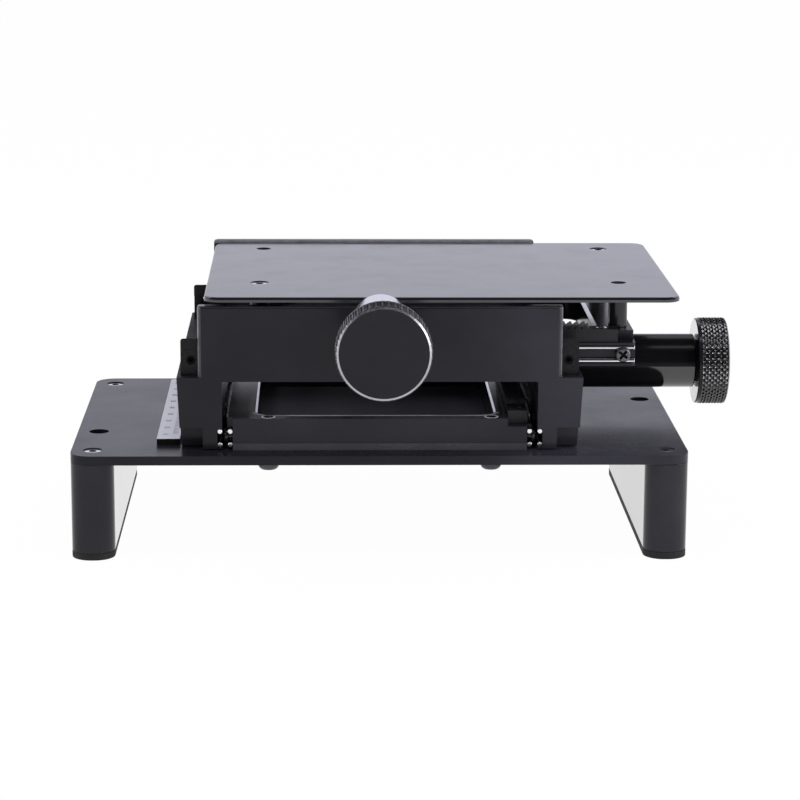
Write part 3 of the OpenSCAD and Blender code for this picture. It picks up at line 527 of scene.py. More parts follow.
def split_at(shape: BMesh, pick: Pick, axis: int, place: float) -> None:
    """Cuts some faces along a plane.

    Args:
        shape: the mesh to cut.
        pick: picks the faces by their middles.
        axis: 0, 1 or 2 for a plane across X, Y or Z.
        place: where the plane stands, in metres.
    """
    faces = [face for face in shape.faces if pick(face.calc_center_median())]
    around = {part for face in faces for part in (*face.verts, *face.edges)}
    point, normal = Vector(), Vector()
    point[axis], normal[axis] = place, 1.0
    bmesh.ops.bisect_plane(shape, geom=[*faces, *around], plane_co=point, plane_no=normal)


def rounded(shape: BMesh, edges: Sequence[BMEdge], offset: float, segments: int = 3) -> None:
    """Rounds some edges of a shape.

    Args:
        shape: the shape.
        edges: the edges.
        offset: how far the rounding reaches, in metres.
        segments: steps across it.
    """
    bmesh.ops.bevel(shape, geom=edges, offset=offset, segments=segments, profile=0.5, affect="EDGES")


def ring(shape: BMesh, steps: int, height: float, radius: Callable[[float], float],
         middle: Sequence[float] = (0.0, 0.0)) -> list[BMVert]:
    """Adds a ring of points about an upright axis.

    Args:
        shape: the bmesh being built.
        steps: number of points.
        height: their height.
        radius: gives the radius at an angle in radians.
        middle: X and Y of the axis.

    Returns:
        The points in their order.
    """
    points = []
    for angle in (2 * math.pi * k / steps for k in range(steps)):
        reach = radius(angle)
        points.append(shape.verts.new((middle[0] + reach * math.cos(angle), middle[1] + reach * math.sin(angle),
                                       height)))
    return points


def band(shape: BMesh, lower: Sequence[BMVert], upper: Sequence[BMVert]) -> list[BMFace]:
    """Joins two rings of as many points by a band of faces.

    Args:
        shape: the bmesh being built.
        lower: the first ring.
        upper: the second ring.

    Returns:
        The new faces.
    """
    made = []
    for k in range(len(lower)):
        nxt = (k + 1) % len(lower)
        made.append(shape.faces.new((lower[k], lower[nxt], upper[nxt], upper[k])))
    return made


def stack(shape: BMesh, rings: Sequence[Sequence[BMVert]]) -> None:
    """Joins rings into one closed solid.

    Args:
        shape: the bmesh being built.
        rings: the rings, from one end to the other.
    """
    for lower, upper in zip(rings, rings[1:]):
        band(shape, lower, upper)
    shape.faces.new(list(reversed(rings[0])))
    shape.faces.new(rings[-1])


def adopt(piece: Object, body: str, slot: str, *nodes: str) -> None:
    """Rides a piece on its body, hides the nodes that it replaces and logs its size.

    Args:
        piece: the finished piece.
        body: the body's name.
        slot: the record's material slot; not used.
        nodes: the nodes that it replaces.
    """
    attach(piece, body)
    if nodes:
        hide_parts(*nodes)
    log.info("%s: %d faces on %s", piece.name, len(piece.data.polygons), body)


def eased(node: str, body: str, slot: str, finish: Finish, width: float, segments: int = 2,
          rim: Pick | None = None, rim_width: float = 0.0,
          patches: Sequence[tuple[Pick, Finish]] = (), reshape: Reshape | None = None) -> None:
    """Replaces a node by a finished copy with eased edges.

    Args:
        node: the node that the copy stands for.
        body: the body it rides on.
        slot: the record's material slot, handed to adopt, which does not use it.
        finish: its finish.
        width: width of the eased edge, in metres.
        segments: steps across the eased edge.
        rim: picks edges, by their middles, that get a bare chamfer.
        rim_width: width of that chamfer, in metres.
        patches: pairs of a rule that picks faces by their middles, and the finish that they get.
        reshape: works on the copy before anything else.
    """
    shape = whole_faced(node)
    if reshape is not None:
        reshape(shape)
    for number, (patch, _) in enumerate(patches, 2):
        for face in shape.faces:
            if patch(face.calc_center_median()):
                face.material_index = number
    if rim is not None:
        weights = shape.edges.layers.float.new("bevel_weight_edge")
        for edge in shape.edges:
            if is_corner(edge):
                edge[weights] = 1.0 if rim(middle_of(edge)) else 0.0
    piece = show(mesh_from(shape, f"{node}_eased"), f"{node}_dressed",
                 [finish, BARE_RIM] + [other for _, other in patches])
    if rim is not None:
        chamfer = piece.modifiers.new("rim", "BEVEL")
        chamfer.width = rim_width
        chamfer.segments = 1
        chamfer.limit_method = "WEIGHT"
        chamfer.material = 1
    bevel = piece.modifiers.new("edge", "BEVEL")
    bevel.width = width
    bevel.segments = segments
    bevel.limit_method = "ANGLE"
    bevel.angle_limit = SHARP_TURN if rim is None else RIMMED_TURN
    level = piece.modifiers.new("level", "WEIGHTED_NORMAL")
    level.weight = 100
    level.keep_sharp = True
    flatten(piece)
    adopt(piece, body, slot, node)


class Recess(Enum):
    """The shape of a screw's recess."""

    HEX = "hex"
    CROSS = "cross"

    def reach(self, angle: float, size: float) -> float:
        """Gives the recess's radius at an angle.

        Args:
            angle: direction in radians.
            size: radius of the circle round the recess.

        Returns:
            The radius there.
        """
        if self is Recess.HEX:
            step = math.pi / 3
            return size * math.cos(step / 2) / math.cos((angle % step) - step / 2)
        half_arm = CROSS_ARM * size
        off_arm = abs(((angle + math.pi / 4) % (math.pi / 2)) - math.pi / 4)
        if off_arm < math.atan2(half_arm, size):
            return size / math.cos(off_arm)
        return half_arm / math.sin(off_arm)


class Head(Enum):
    """Which way a screw's head looks."""

    UP = "up"
    DOWN = "down"
    SIDE = "away from the middle, to the left or right"
    END = "to the nearer of front and back"

    def pose(self, low: Vector, high: Vector) -> tuple[Vector, Vector]:
        """Places a screw that stands along +Z on a node's solid.

        Args:
            low: lowest corner of the solid.
            high: its highest corner.

        Returns:
            The middle of the head's face, and the turn from +Z.
        """
        x, y, z = ((low[i] + high[i]) / 2 for i in range(3))
        quarter = math.pi / 2
        if self is Head.UP:
            return Vector((x, y, high.z)), Vector((0.0, 0.0, 0.0))
        if self is Head.DOWN:
            return Vector((x, y, low.z)), Vector((math.pi, 0.0, 0.0))
        if self is Head.SIDE:
            right = low.x > 0
            return Vector((high.x if right else low.x, y, z)), Vector((0.0, quarter if right else -quarter, 0.0))
        front = y < ROWS_MIDDLE
        return Vector((x, low.y if front else high.y, z)), Vector((quarter if front else -quarter, 0.0, 0.0))


@dataclass(frozen=True)
class ScrewForm:
    """A screw along +Z with its head up, given in millimetres as rings of a radius and a height."""

    outline: tuple[Ring, ...]
    recess: Recess
    recess_size: float
    recess_depth: float
    recess_turn: float = 0.0
    steps: int = 64
    lining_outer: float = 0.985
    lining_inner: float = 0.92
    lining_drop: float = 0.05
    lining_clear: float = 0.002
    lining_floor: float = 0.04

    def mesh(self, name: str) -> Mesh:
        """Builds the screw.

        Args:
            name: the mesh's name.

        Returns:
            The mesh, with its recess in the top.
        """
        shape = bmesh.new()
        top = self.outline[-1][1] * MM
        rings = [ring(shape, self.steps, height * MM, lambda angle: radius * MM) for radius, height in self.outline]
        rings += [self._recess_ring(shape, top - drop * MM) for drop in (0.0, self.recess_depth)]
        stack(shape, rings)
        bmesh.ops.recalc_face_normals(shape, faces=shape.faces)
        return mesh_from(shape, name)

    def lining(self, name: str) -> Mesh:
        """Builds the thin dark cup that lines the recess, painted shade inside it.

        Args:
            name: the mesh's name.

        Returns:
            The lining as a closed thin shell.
        """
        shape = bmesh.new()
        top = self.outline[-1][1] * MM
        floor = top - self.recess_depth * MM
        rim = top - self.lining_drop * MM
        profile = ((self.lining_outer, floor + self.lining_clear * MM), (self.lining_outer, rim),
                   (self.lining_inner, rim), (self.lining_inner, floor + self.lining_floor * MM))
        stack(shape, [self._recess_ring(shape, height, part) for part, height in profile])
        return mesh_from(shape, name)

    def _recess_ring(self, shape: BMesh, height: float, part: float = 1.0) -> list[BMVert]:
        """Adds the recess's outline at a height, drawn in to a part of its size."""
        return ring(shape, self.steps, height,
                    lambda angle: self.recess.reach(angle + self.recess_turn, self.recess_size * MM) * part)


class PieceTree:
    """A geometry tree that sets a form on many points and paints the whole set."""

    def __init__(self, name: str, **inputs: str) -> None:
        """Starts the tree.

        Args:
            name: the tree's name.
            inputs: for each input but Geometry and Finish, the kind of its socket.
        """
        self.tree = bpy.data.node_groups.new(name, "GeometryNodeTree")
        for label, kind in {"Geometry": "Geometry", **inputs, "Finish": "Material"}.items():
            self.tree.interface.new_socket(label, in_out="INPUT", socket_type=f"NodeSocket{kind}")
        self.tree.interface.new_socket("Geometry", in_out="OUTPUT", socket_type="NodeSocketGeometry")
        self.given = self.add("NodeGroupInput")

    def add(self, kind: str, inputs: dict | None = None, **settings: object) -> NodeOutputs:
        """Adds one node, as add_node does, and gives its outputs."""
        return add_node(self.tree, kind, inputs, **settings).outputs

    def math(self, kind: str, first: object, second: object) -> NodeSocket:
        """Joins two numbers."""
        return self.add("ShaderNodeMath", {0: first, 1: second}, operation=kind)[0]

    def vector(self, kind: str, inputs: dict) -> NodeSocket:
        """Works on vectors by one operation."""
        return self.add("ShaderNodeVectorMath", inputs, operation=kind)[0]

    def close(self, **places: object) -> NodeTree:
        """Sets the form on the points, paints the set and joins it to the output.

        Args:
            places: the inputs of the node that sets the form.

        Returns:
            The finished tree.
        """
        placed = self.add("GeometryNodeInstanceOnPoints", places)
        real = self.add("GeometryNodeRealizeInstances", {"Geometry": placed["Instances"]})
        painted = self.add("GeometryNodeSetMaterial", {"Geometry": real["Geometry"], "Material": self.given["Finish"]})
        self.add("NodeGroupOutput", {"Geometry": painted["Geometry"]})
        return self.tree


def instance_tree(name: str) -> NodeTree:
    """Builds the tree that sets one object on every point of a mesh.

    Args:
        name: the tree's name.

    Returns:
        The tree, with the inputs Piece and Finish. Each point's "turn" attribute turns its copy.
    """
    grow = PieceTree(name, Piece="Object")
    piece = grow.add("GeometryNodeObjectInfo", {"Object": grow.given["Piece"]})
    turn = grow.add("GeometryNodeInputNamedAttribute", {"Name": "turn"}, data_type="FLOAT_VECTOR")
    return grow.close(Points=grow.given["Geometry"], Instance=piece["Geometry"], Rotation=turn["Attribute"])


def marks_tree(name: str) -> NodeTree:
    """Builds the tree that draws a row of scale marks as thin bars, every fifth and tenth of them longer.

    Args:
        name: the tree's name.

    Returns:
        The tree, with inputs for its sizes.
    """
    grow = PieceTree(name, Start="Vector", Step="Vector", Count="Int", Bar="Vector", Side="Vector")
    given = grow.given
    row = grow.add("GeometryNodeMeshLine", {"Count": given["Count"], "Start Location": given["Start"],
                                            "Offset": given["Step"]})
    index = grow.add("GeometryNodeInputIndex")[0]
    longer = [grow.math("MULTIPLY", grow.math("LESS_THAN", grow.math("MODULO", index, every), 0.5), LONGER_MARK)
              for every in (5, 10)]
    reach = grow.vector("SCALE", {0: given["Side"], "Scale": grow.math("ADD", *longer)})
    size = grow.vector("ABSOLUTE", {0: grow.vector("ADD", {0: given["Bar"], 1: reach})})
    shifted = grow.add("GeometryNodeSetPosition", {"Geometry": row["Mesh"],
                                                   "Offset": grow.vector("SCALE", {0: reach, "Scale": 0.5})})
    cube = grow.add("GeometryNodeMeshCube", {"Size": (1.0, 1.0, 1.0)})
    return grow.close(Points=shifted["Geometry"], Instance=cube["Mesh"], Scale=size)


def grown(tree: NodeTree, base: Mesh, name: str, values: dict[str, object]) -> Object:
    """Runs a tree on a mesh and keeps the result as a plain piece.

    Args:
        tree: the geometry tree.
        base: the mesh it starts from.
        name: the piece's name.
        values: the tree's inputs by their names.

    Returns:
        The finished piece, not yet riding on a body.
    """
    piece = place_piece(name, base)
    modifier = piece.modifiers.new("grow", "NODES")
    modifier.node_group = tree
    for socket in tree.interface.items_tree:
        if socket.in_out == "INPUT" and socket.name in values:
            modifier[socket.identifier] = values[socket.name]
    flatten(piece)
    smoothed(piece.data, SMOOTH_TURN)
    return piece


@dataclass
class ScrewSet:
    """Equal screws that stand where a node's solids are."""

    node: str
    body: str
    form: ScrewForm
    head: Head
    finish: Finish

    def build(self, tree: NodeTree) -> None:
        """Sets the screws in place of the node.

        Args:
            tree: the tree that sets one object on every point.
        """
        screws = self._set(tree, self.form.mesh(f"{self.node}_form"), "dressed", self.finish)
        adopt(screws, self.body, "screw_steel", self.node)
        # The dark linings are painted shade in the recesses
        linings = self._set(tree, self.form.lining(f"{self.node}_floor"), "sockets", PAINTED_SHADE_BLACK)
        adopt(linings, self.body, "screw_steel")

    def _set(self, tree: NodeTree, form: Mesh, label: str, finish: Finish) -> Object:
        """Sets one mesh at every place.

        Args:
            tree: the tree that sets one object on every point.
            form: the mesh to set.
            label: what the piece's name ends in.
            finish: the finish of the whole set.

        Returns:
            The set as one plain piece.
        """
        poses = [self.head.pose(low, high) for low, high in islands(self.node)]
        base = bpy.data.meshes.new(f"{self.node}_{label}_places")
        base.from_pydata([place for place, _ in poses], [], [])
        turns = base.attributes.new("turn", "FLOAT_VECTOR", "POINT")
        turns.data.foreach_set("vector", [angle for _, turn in poses for angle in turn])
        master = place_piece(f"{self.node}_{label}_master", form)
        piece = grown(tree, base, f"{self.node}_{label}", {"Piece": master, "Finish": finish.material()})
        bpy.data.objects.remove(master)
        return piece


@dataclass(frozen=True)
class SoftBox:
    """A soft lamp that faces a point."""

    name: str
    place: tuple[float, float, float]
    aim: tuple[float, float, float]
    width: float
    height: float
    watts: float

    def hang(self) -> None:
        """Hangs the lamp."""
        data = bpy.data.lights.new(self.name, "AREA")
        data.shape = "RECTANGLE"
        data.size, data.size_y = self.width, self.height
        data.energy = self.watts
        lamp = place_piece(self.name, data)
        lamp.rotation_euler = (Vector(self.aim) - Vector(self.place)).to_track_quat("-Z", "Y").to_euler()
        lamp.location = self.place


SOFT_BOXES = (
    SoftBox("top_strip", (0.0, -0.37, 1.15), (0.0, 0.0, 0.05), 1.3, 0.14, 3.2),
    SoftBox("back_box", (0.0, 0.75, 0.9), (0.0, 0.0, 0.05), 1.2, 0.4, 2.2),
    SoftBox("left_box", (-0.95, -0.25, 0.40), (0.0, 0.0, 0.05), 0.35, 0.7, 3.2),
    SoftBox("right_box", (0.95, -0.25, 0.40), (0.0, 0.0, 0.05), 0.35, 0.7, 3.2),
    SoftBox("front_right_box", (0.75, -0.75, 0.30), (0.07, -0.05, 0.05), 0.4, 0.4, 2.4),
)


@dataclass
class Stage:
    """The photograph's camera, the lamps and the white surroundings."""

    focal_px: float = 2749.18
    frame_px: float = 800.0
    sensor_mm: float = 36.0
    pitch: float = 0.2182
    yaw: float = 0.0295
    roll: float = 0.0054
    eye: Vector = field(default_factory=lambda: Vector((-0.019211, -0.918648, 0.243646)))
    nearest: float = 0.01
    farthest: float = 50.0
    soft_glow: float = 0.6
    front_glow: float = 0.08
    top_glow: float = 0.12
    side_glow: float = 0.9
    back_span: tuple[float, float] = (-0.1, 0.6)
    sky_span: tuple[float, float] = (0.25, 0.75)
    side_span: tuple[float, float] = (0.55, 0.9)
    mirror_tint: Colour = (0.87, 0.875, 1.0)
    floor_size: float = 4.0
    floor_white: Colour = (0.9, 0.9, 0.9)
    floor_glow: float = 0.98

    def camera(self) -> None:
        """Sets the camera where the photograph was taken from."""
        ahead = Vector((math.sin(self.yaw), math.cos(self.yaw), 0.0))
        side = Vector((math.cos(self.yaw), -math.sin(self.yaw), 0.0))
        up = Vector((0.0, 0.0, 1.0))
        forward = ahead * math.cos(self.pitch) - up * math.sin(self.pitch)
        lift = ahead * math.sin(self.pitch) + up * math.cos(self.pitch)
        right = side * math.cos(self.roll) + lift * math.sin(self.roll)
        above = lift * math.cos(self.roll) - side * math.sin(self.roll)
        data = bpy.data.cameras.new("camera")
        data.sensor_width = self.sensor_mm
        data.lens = self.focal_px / self.frame_px * self.sensor_mm
        data.clip_start = self.nearest
        data.clip_end = self.farthest
        camera = place_piece("camera", data)
        columns = Matrix((right, above, -forward)).transposed()
        camera.matrix_world = Matrix.Translation(self.eye) @ columns.to_4x4()
        bpy.context.scene.camera = camera

    def rays(self, canvas: Canvas) -> tuple[NodeSocket, NodeSocket]:
        """Tells apart the rays that see the scene.

        Args:
            canvas: the material or world being built.

        Returns:
            A socket that is 1 for rays from the camera, and one that is 1 for rays from a mirror or glass.
        """
        path = canvas.add("ShaderNodeLightPath").outputs
        return path["Is Camera Ray"], canvas.math("MAXIMUM", path["Is Glossy Ray"], path["Is Transmission Ray"])

    def world(self) -> None:
        """Makes the surroundings white to the eye, softer as a light, and bright behind and beside the object."""
        world = bpy.data.worlds.new("white_room")
        bpy.context.scene.world = world
        canvas = Canvas(world, "ShaderNodeOutputWorld")
        coords = canvas.add("ShaderNodeTexCoord").outputs["Generated"]
        parts = canvas.add("ShaderNodeSeparateXYZ", {0: coords}).outputs
        back = canvas.ramp(parts["Y"], *self.back_span, self.front_glow, 1.0)
        low_sky = canvas.ramp(parts["Z"], *self.sky_span, 1.0, self.top_glow)
        sides = canvas.ramp(canvas.math("ABSOLUTE", parts["X"], 0.0), *self.side_span, 0.0, self.side_glow)
        mirrored = canvas.math("MAXIMUM", canvas.math("MULTIPLY", back, low_sky),
                               canvas.math("MULTIPLY", sides, low_sky))
        from_camera, from_mirror = self.rays(canvas)
        level = canvas.add("ShaderNodeMix", {0: from_mirror, 2: self.soft_glow, 3: mirrored}).outputs[0]
        tint = canvas.add("ShaderNodeMix", {0: from_camera, 6: (*self.mirror_tint, 1.0), 7: WHITE},
                          data_type="RGBA").outputs[2]
        light = canvas.add("ShaderNodeBackground", {"Color": tint,
                                                    "Strength": canvas.math("MAXIMUM", level, from_camera)})
        canvas.close(light.outputs["Background"])

    def floor(self) -> None:
        """Lays the white floor, which keeps the object's shadow."""
        shape = bmesh.new()
        bmesh.ops.create_grid(shape, x_segments=2, y_segments=2, size=self.floor_size)
        mesh = mesh_from(shape, "floor")
        floor = place_piece("floor", mesh)
        white = bpy.data.materials.new("floor_white")
        canvas = Canvas(white)
        paint = canvas.add("ShaderNodeBsdfDiffuse", {"Color": (*self.floor_white, 1.0)})
        glow = canvas.add("ShaderNodeEmission", {"Color": WHITE})
        seen = canvas.math("MAXIMUM", *self.rays(canvas))
        mix = canvas.add("ShaderNodeMixShader", {"Fac": canvas.math("MULTIPLY", seen, self.floor_glow),
                                                 1: paint.outputs["BSDF"], 2: glow.outputs["Emission"]})
        canvas.close(mix.outputs["Shader"])
        mesh.materials.append(white)

    def build(self) -> None:
        """Sets the whole stage up."""
        bpy.context.scene.view_settings.view_transform = "Standard"
        self.camera()
        for box in SOFT_BOXES:
            box.hang()
        self.world()
        self.floor()


@dataclass
class Base:
    """The base plate on its legs, with the lower guide frame."""

    body: str = "base"
    plate_edge: float = 0.35 * MM
    leg_edge: float = 0.25 * MM
    pad_edge: float = 0.3 * MM
    frame_edge: float = 0.3 * MM
    strip_edge: float = 0.15 * MM
    shade_margin: float = 3 * MM
    window_rim: float = 0.8 * MM
    window_side: float = 2.5 * MM
    shelf_width: float = 8 * MM
    window_end: float = 4 * MM
    screw_room: float = 2.5 * MM
    foot_band: float = 2.2 * MM
    foot_lean: float = 0.3 * MM
    # Sizes of the painted glints on the lower frame
    worn_width: float = 1.1 * MM
    worn_reach: float = 4 * MM
    worn_radii: tuple[float, float] = (1.75 * MM, 2.35 * MM)
    worn_steps: int = 48
    strip_widening: float = 0.55 * MM
    mark_count: int = 81
    mark_inset: float = 1.3 * MM
    mark_length: float = 1.6 * MM
    mark_width: float = 0.18 * MM
    number_inset: float = 4.6 * MM
    number_height: float = 1.9 * MM

    def build(self, screws: NodeTree, marks: NodeTree) -> None:
        """Dresses the base.

        Args:
            screws: the tree that sets screws.
            marks: the tree that draws scale marks.
        """
        self.plate()
        for side in ("left", "right"):
            self.leg(side)
            eased(f"{side}_foot_pad", self.body, "rubber", RUBBER, self.pad_edge)
            eased(f"lower_{side}_rods", self.body, "bright_steel", ROD_STEEL, SMALL_EDGE)
        self.lower_frame()
        eased("y_rack", self.body, "blackened_steel", RACK_BLACK, RACK_EDGE, 1)
        for node, form, head, finish in (("base_plate_screws", CSK_M3, Head.UP, SCREW_STEEL),
                                         ("lower_frame_screws", ROUND_M3, Head.DOWN, SCREW_BLACK),
                                         ("y_rack_screws", CSK_M25, Head.UP, SCREW_BLACK),
                                         ("y_stop_screws", PAN_M25, Head.SIDE, SCREW_BLACK)):
            ScrewSet(node, self.body, form, head, finish).build(screws)
        self.scale(marks)

    def plate(self) -> None:
        """Dresses the base plate, duller inside the lower frame and painted lighter there, as painted light where it
        lies in shade.
        """
        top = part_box("base_plate")[1].z
        low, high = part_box("lower_frame")
        spans = [(low[axis] + self.shade_margin, high[axis] - self.shade_margin) for axis in (0, 1)]

        def upper(middle: Vector) -> bool:
            """Tells whether a face belongs to the plate's top."""
            return middle.z > top - ON_PLANE

        def inside(middle: Vector) -> bool:
            """Tells whether a face of the plate's top lies inside the lower frame."""
            return upper(middle) and within(middle, spans)

        def split_top(shape: BMesh) -> None:
            """Splits the plate's top along the middle of the frame's members.

            Args:
                shape: the copy of the plate.
            """
            for axis, span in enumerate(spans):
                for place in span:
                    split_at(shape, upper, axis, place)

        eased("base_plate", self.body, "anodised_frame", BASE_BLACK, self.plate_edge,
              patches=[(inside, BASE_PAINTED_LIGHT)], reshape=split_top)

    def leg(self, side: str) -> None:
        """Dresses a leg, whose inner face carries a painted reflection, lighter and glossier than the rest.

        Args:
            side: left or right.
        """
        low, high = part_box(f"{side}_leg")
        inner = high.x if side == "left" else low.x

        def inner_face(middle: Vector) -> bool:
            """Tells whether a face is the leg's inner one."""
            return abs(middle.x - inner) < ON_PLANE

        eased(f"{side}_leg", self.body, "anodised_frame", LEG_BLACK, self.leg_edge, patches=[(inner_face, LEG_PAINTED_REFLECTION)])

    def lower_frame(self) -> None:
        """Dresses the lower frame, with a bare chamfer round its window and a band along its foot that leans forwards
        and is painted lighter as painted light.
        """
        low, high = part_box("lower_frame")
        foot = low.z + self.foot_band
        screws = [(start + end) / 2 for start, end in islands("lower_frame_screws")]
        spans = ((low.x + self.window_side, high.x - self.shelf_width),
                 (self.window_end - high.y, high.y - self.window_end))

        def foot_band(middle: Vector) -> bool:
            """Tells whether a face is the band along the front's foot, which gets painted light."""
            return middle.y < low.y + NEAR_PLANE and middle.z < foot

        def split_front(shape: BMesh) -> None:
            """Splits the front face at the top of the band, and leans the band forwards.

            Args:
                shape: the copy of the frame.
            """
            split_at(shape, lambda middle: middle.y < low.y + ON_PLANE, 2, foot)
            for vert in shape.verts:
                if vert.co.y < low.y + ON_PLANE and vert.co.z < low.z + ON_PLANE:
                    vert.co.y -= self.foot_lean

        def at_screw(middle: Vector) -> bool:
            """Tells whether a point lies round one of the frame's screws."""
            return any(max(abs(middle.x - screw.x), abs(middle.y - screw.y)) < self.screw_room for screw in screws)

        def window(middle: Vector) -> bool:
            """Tells whether an edge is on the upper rim of the window."""
            return within(middle, spans) and middle.z > high.z - ON_PLANE and not at_screw(middle)

        eased("lower_frame", self.body, "anodised_frame", FRAME_BRUSHED, self.frame_edge, rim=window,
              rim_width=self.window_rim, patches=[(foot_band, FOOT_PAINTED_LIGHT)], reshape=split_front)
        # Painted glints along the window's near edge and round the screw holes
        self.worn_edge(window)
        self.worn_rings(screws, high.z)

    def worn_edge(self, window: Pick) -> None:
        """Lays a thin light strip beside the near part of the window's upper edge, as a painted glint along that edge.

        Args:
            window: picks the window's edges by their middles.
        """
        frame = whole_faced("lower_frame")
        rim = {vert.index: vert.co.copy() for edge in frame.edges if is_corner(edge) and window(middle_of(edge))
               for vert in edge.verts}
        frame.free()
        points = list(rim.values())
        low, high = box_round(points)
        centre = (low + high) / 2
        row = sorted((point for point in points if point.y < low.y + self.worn_reach),
                     key=lambda point: math.atan2(point.y - centre.y, point.x - centre.x))
        start, end = self.window_rim, self.window_rim + self.worn_width
        shape = bmesh.new()
        rings = []
        for number, point in enumerate(row):
            along = row[min(number + 1, len(row) - 1)] - row[max(number - 1, 0)]
            out = Vector((along.y, -along.x, 0.0)).normalized()
            rings.append([shape.verts.new(point + out * reach + Vector((0.0, 0.0, lift))) for reach, lift in
                          ((start, SKIN_SINK), (end, SKIN_SINK), (end, SKIN_LIFT), (start, SKIN_LIFT))])
        stack(shape, rings)
        self._skin(shape, "lower_frame_worn_edge")

    def worn_rings(self, screws: Sequence[Vector], top: float) -> None:
        """Lays thin light rings round the screw holes in the lower frame's top, as painted glints on their rims.

        Args:
            screws: middles of the screws.
            top: height of the frame's top.
        """
        inner, outer = self.worn_radii
        profile = ((inner, SKIN_SINK), (inner, SKIN_LIFT), (outer, SKIN_LIFT), (outer, SKIN_SINK))
        shape = bmesh.new()
        for screw in screws:
            rings = [ring(shape, self.worn_steps, top + lift, lambda angle: radius, screw) for radius, lift in profile]
            for first, second in zip(rings, [*rings[1:], rings[0]]):
                band(shape, first, second)
        self._skin(shape, "lower_frame_worn_rings")

    def _skin(self, shape: BMesh, name: str) -> None:
        """Finishes a painted glint as a piece of its own.

        Args:
            shape: its closed solids.
            name: the piece's name.
        """
        bmesh.ops.recalc_face_normals(shape, faces=shape.faces)
        adopt(show(mesh_from(shape, name), name, [PAINTED_GLINT]), self.body, "anodised_frame")

    def scale(self, tree: NodeTree) -> None:
        """Draws the scale strip with its marks and plain numbers.

        Args:
            tree: the tree that draws scale marks.
        """
        low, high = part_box("y_scale")

        def front_end(middle: Vector) -> bool:
            """Tells whether a face is the strip's sawn front end, which is painted as shade."""
            return middle.y < low.y + ON_PLANE

        def widen(shape: BMesh) -> None:
            """Takes the strip up to the foot of the tapered side bar.

            Args:
                shape: the copy of the strip.
            """
            for vert in shape.verts:
                if vert.co.x > high.x - ON_PLANE:
                    vert.co.x += self.strip_widening

        eased("y_scale", self.body, "scale_metal", SCALE_METAL, self.strip_edge, patches=[(front_end, PAINTED_SHADE_BLACK)],
              reshape=widen)
        first = (low.y + high.y) / 2 - (self.mark_count - 1) / 2 * MM
        start = Vector((high.x - self.mark_inset, first, high.z + MARK_LIFT))
        piece = grown(tree, bpy.data.meshes.new("y_scale_marks"), "y_scale_marks",
                      {"Start": start, "Step": (0.0, MM, 0.0), "Count": self.mark_count,
                       "Bar": (self.mark_length, self.mark_width, MARK_HEIGHT), "Side": (-self.mark_length, 0.0, 0.0),
                       "Finish": MARK_BLACK.material()})
        adopt(piece, self.body, "scale_metal")
        for tens in range(0, self.mark_count, 10):
            place = Vector((high.x - self.number_inset, first + tens * MM, high.z + MARK_LIFT))
            adopt(numeral(str(tens), f"y_scale_number_{tens}", place, self.number_height), self.body, "scale_metal")


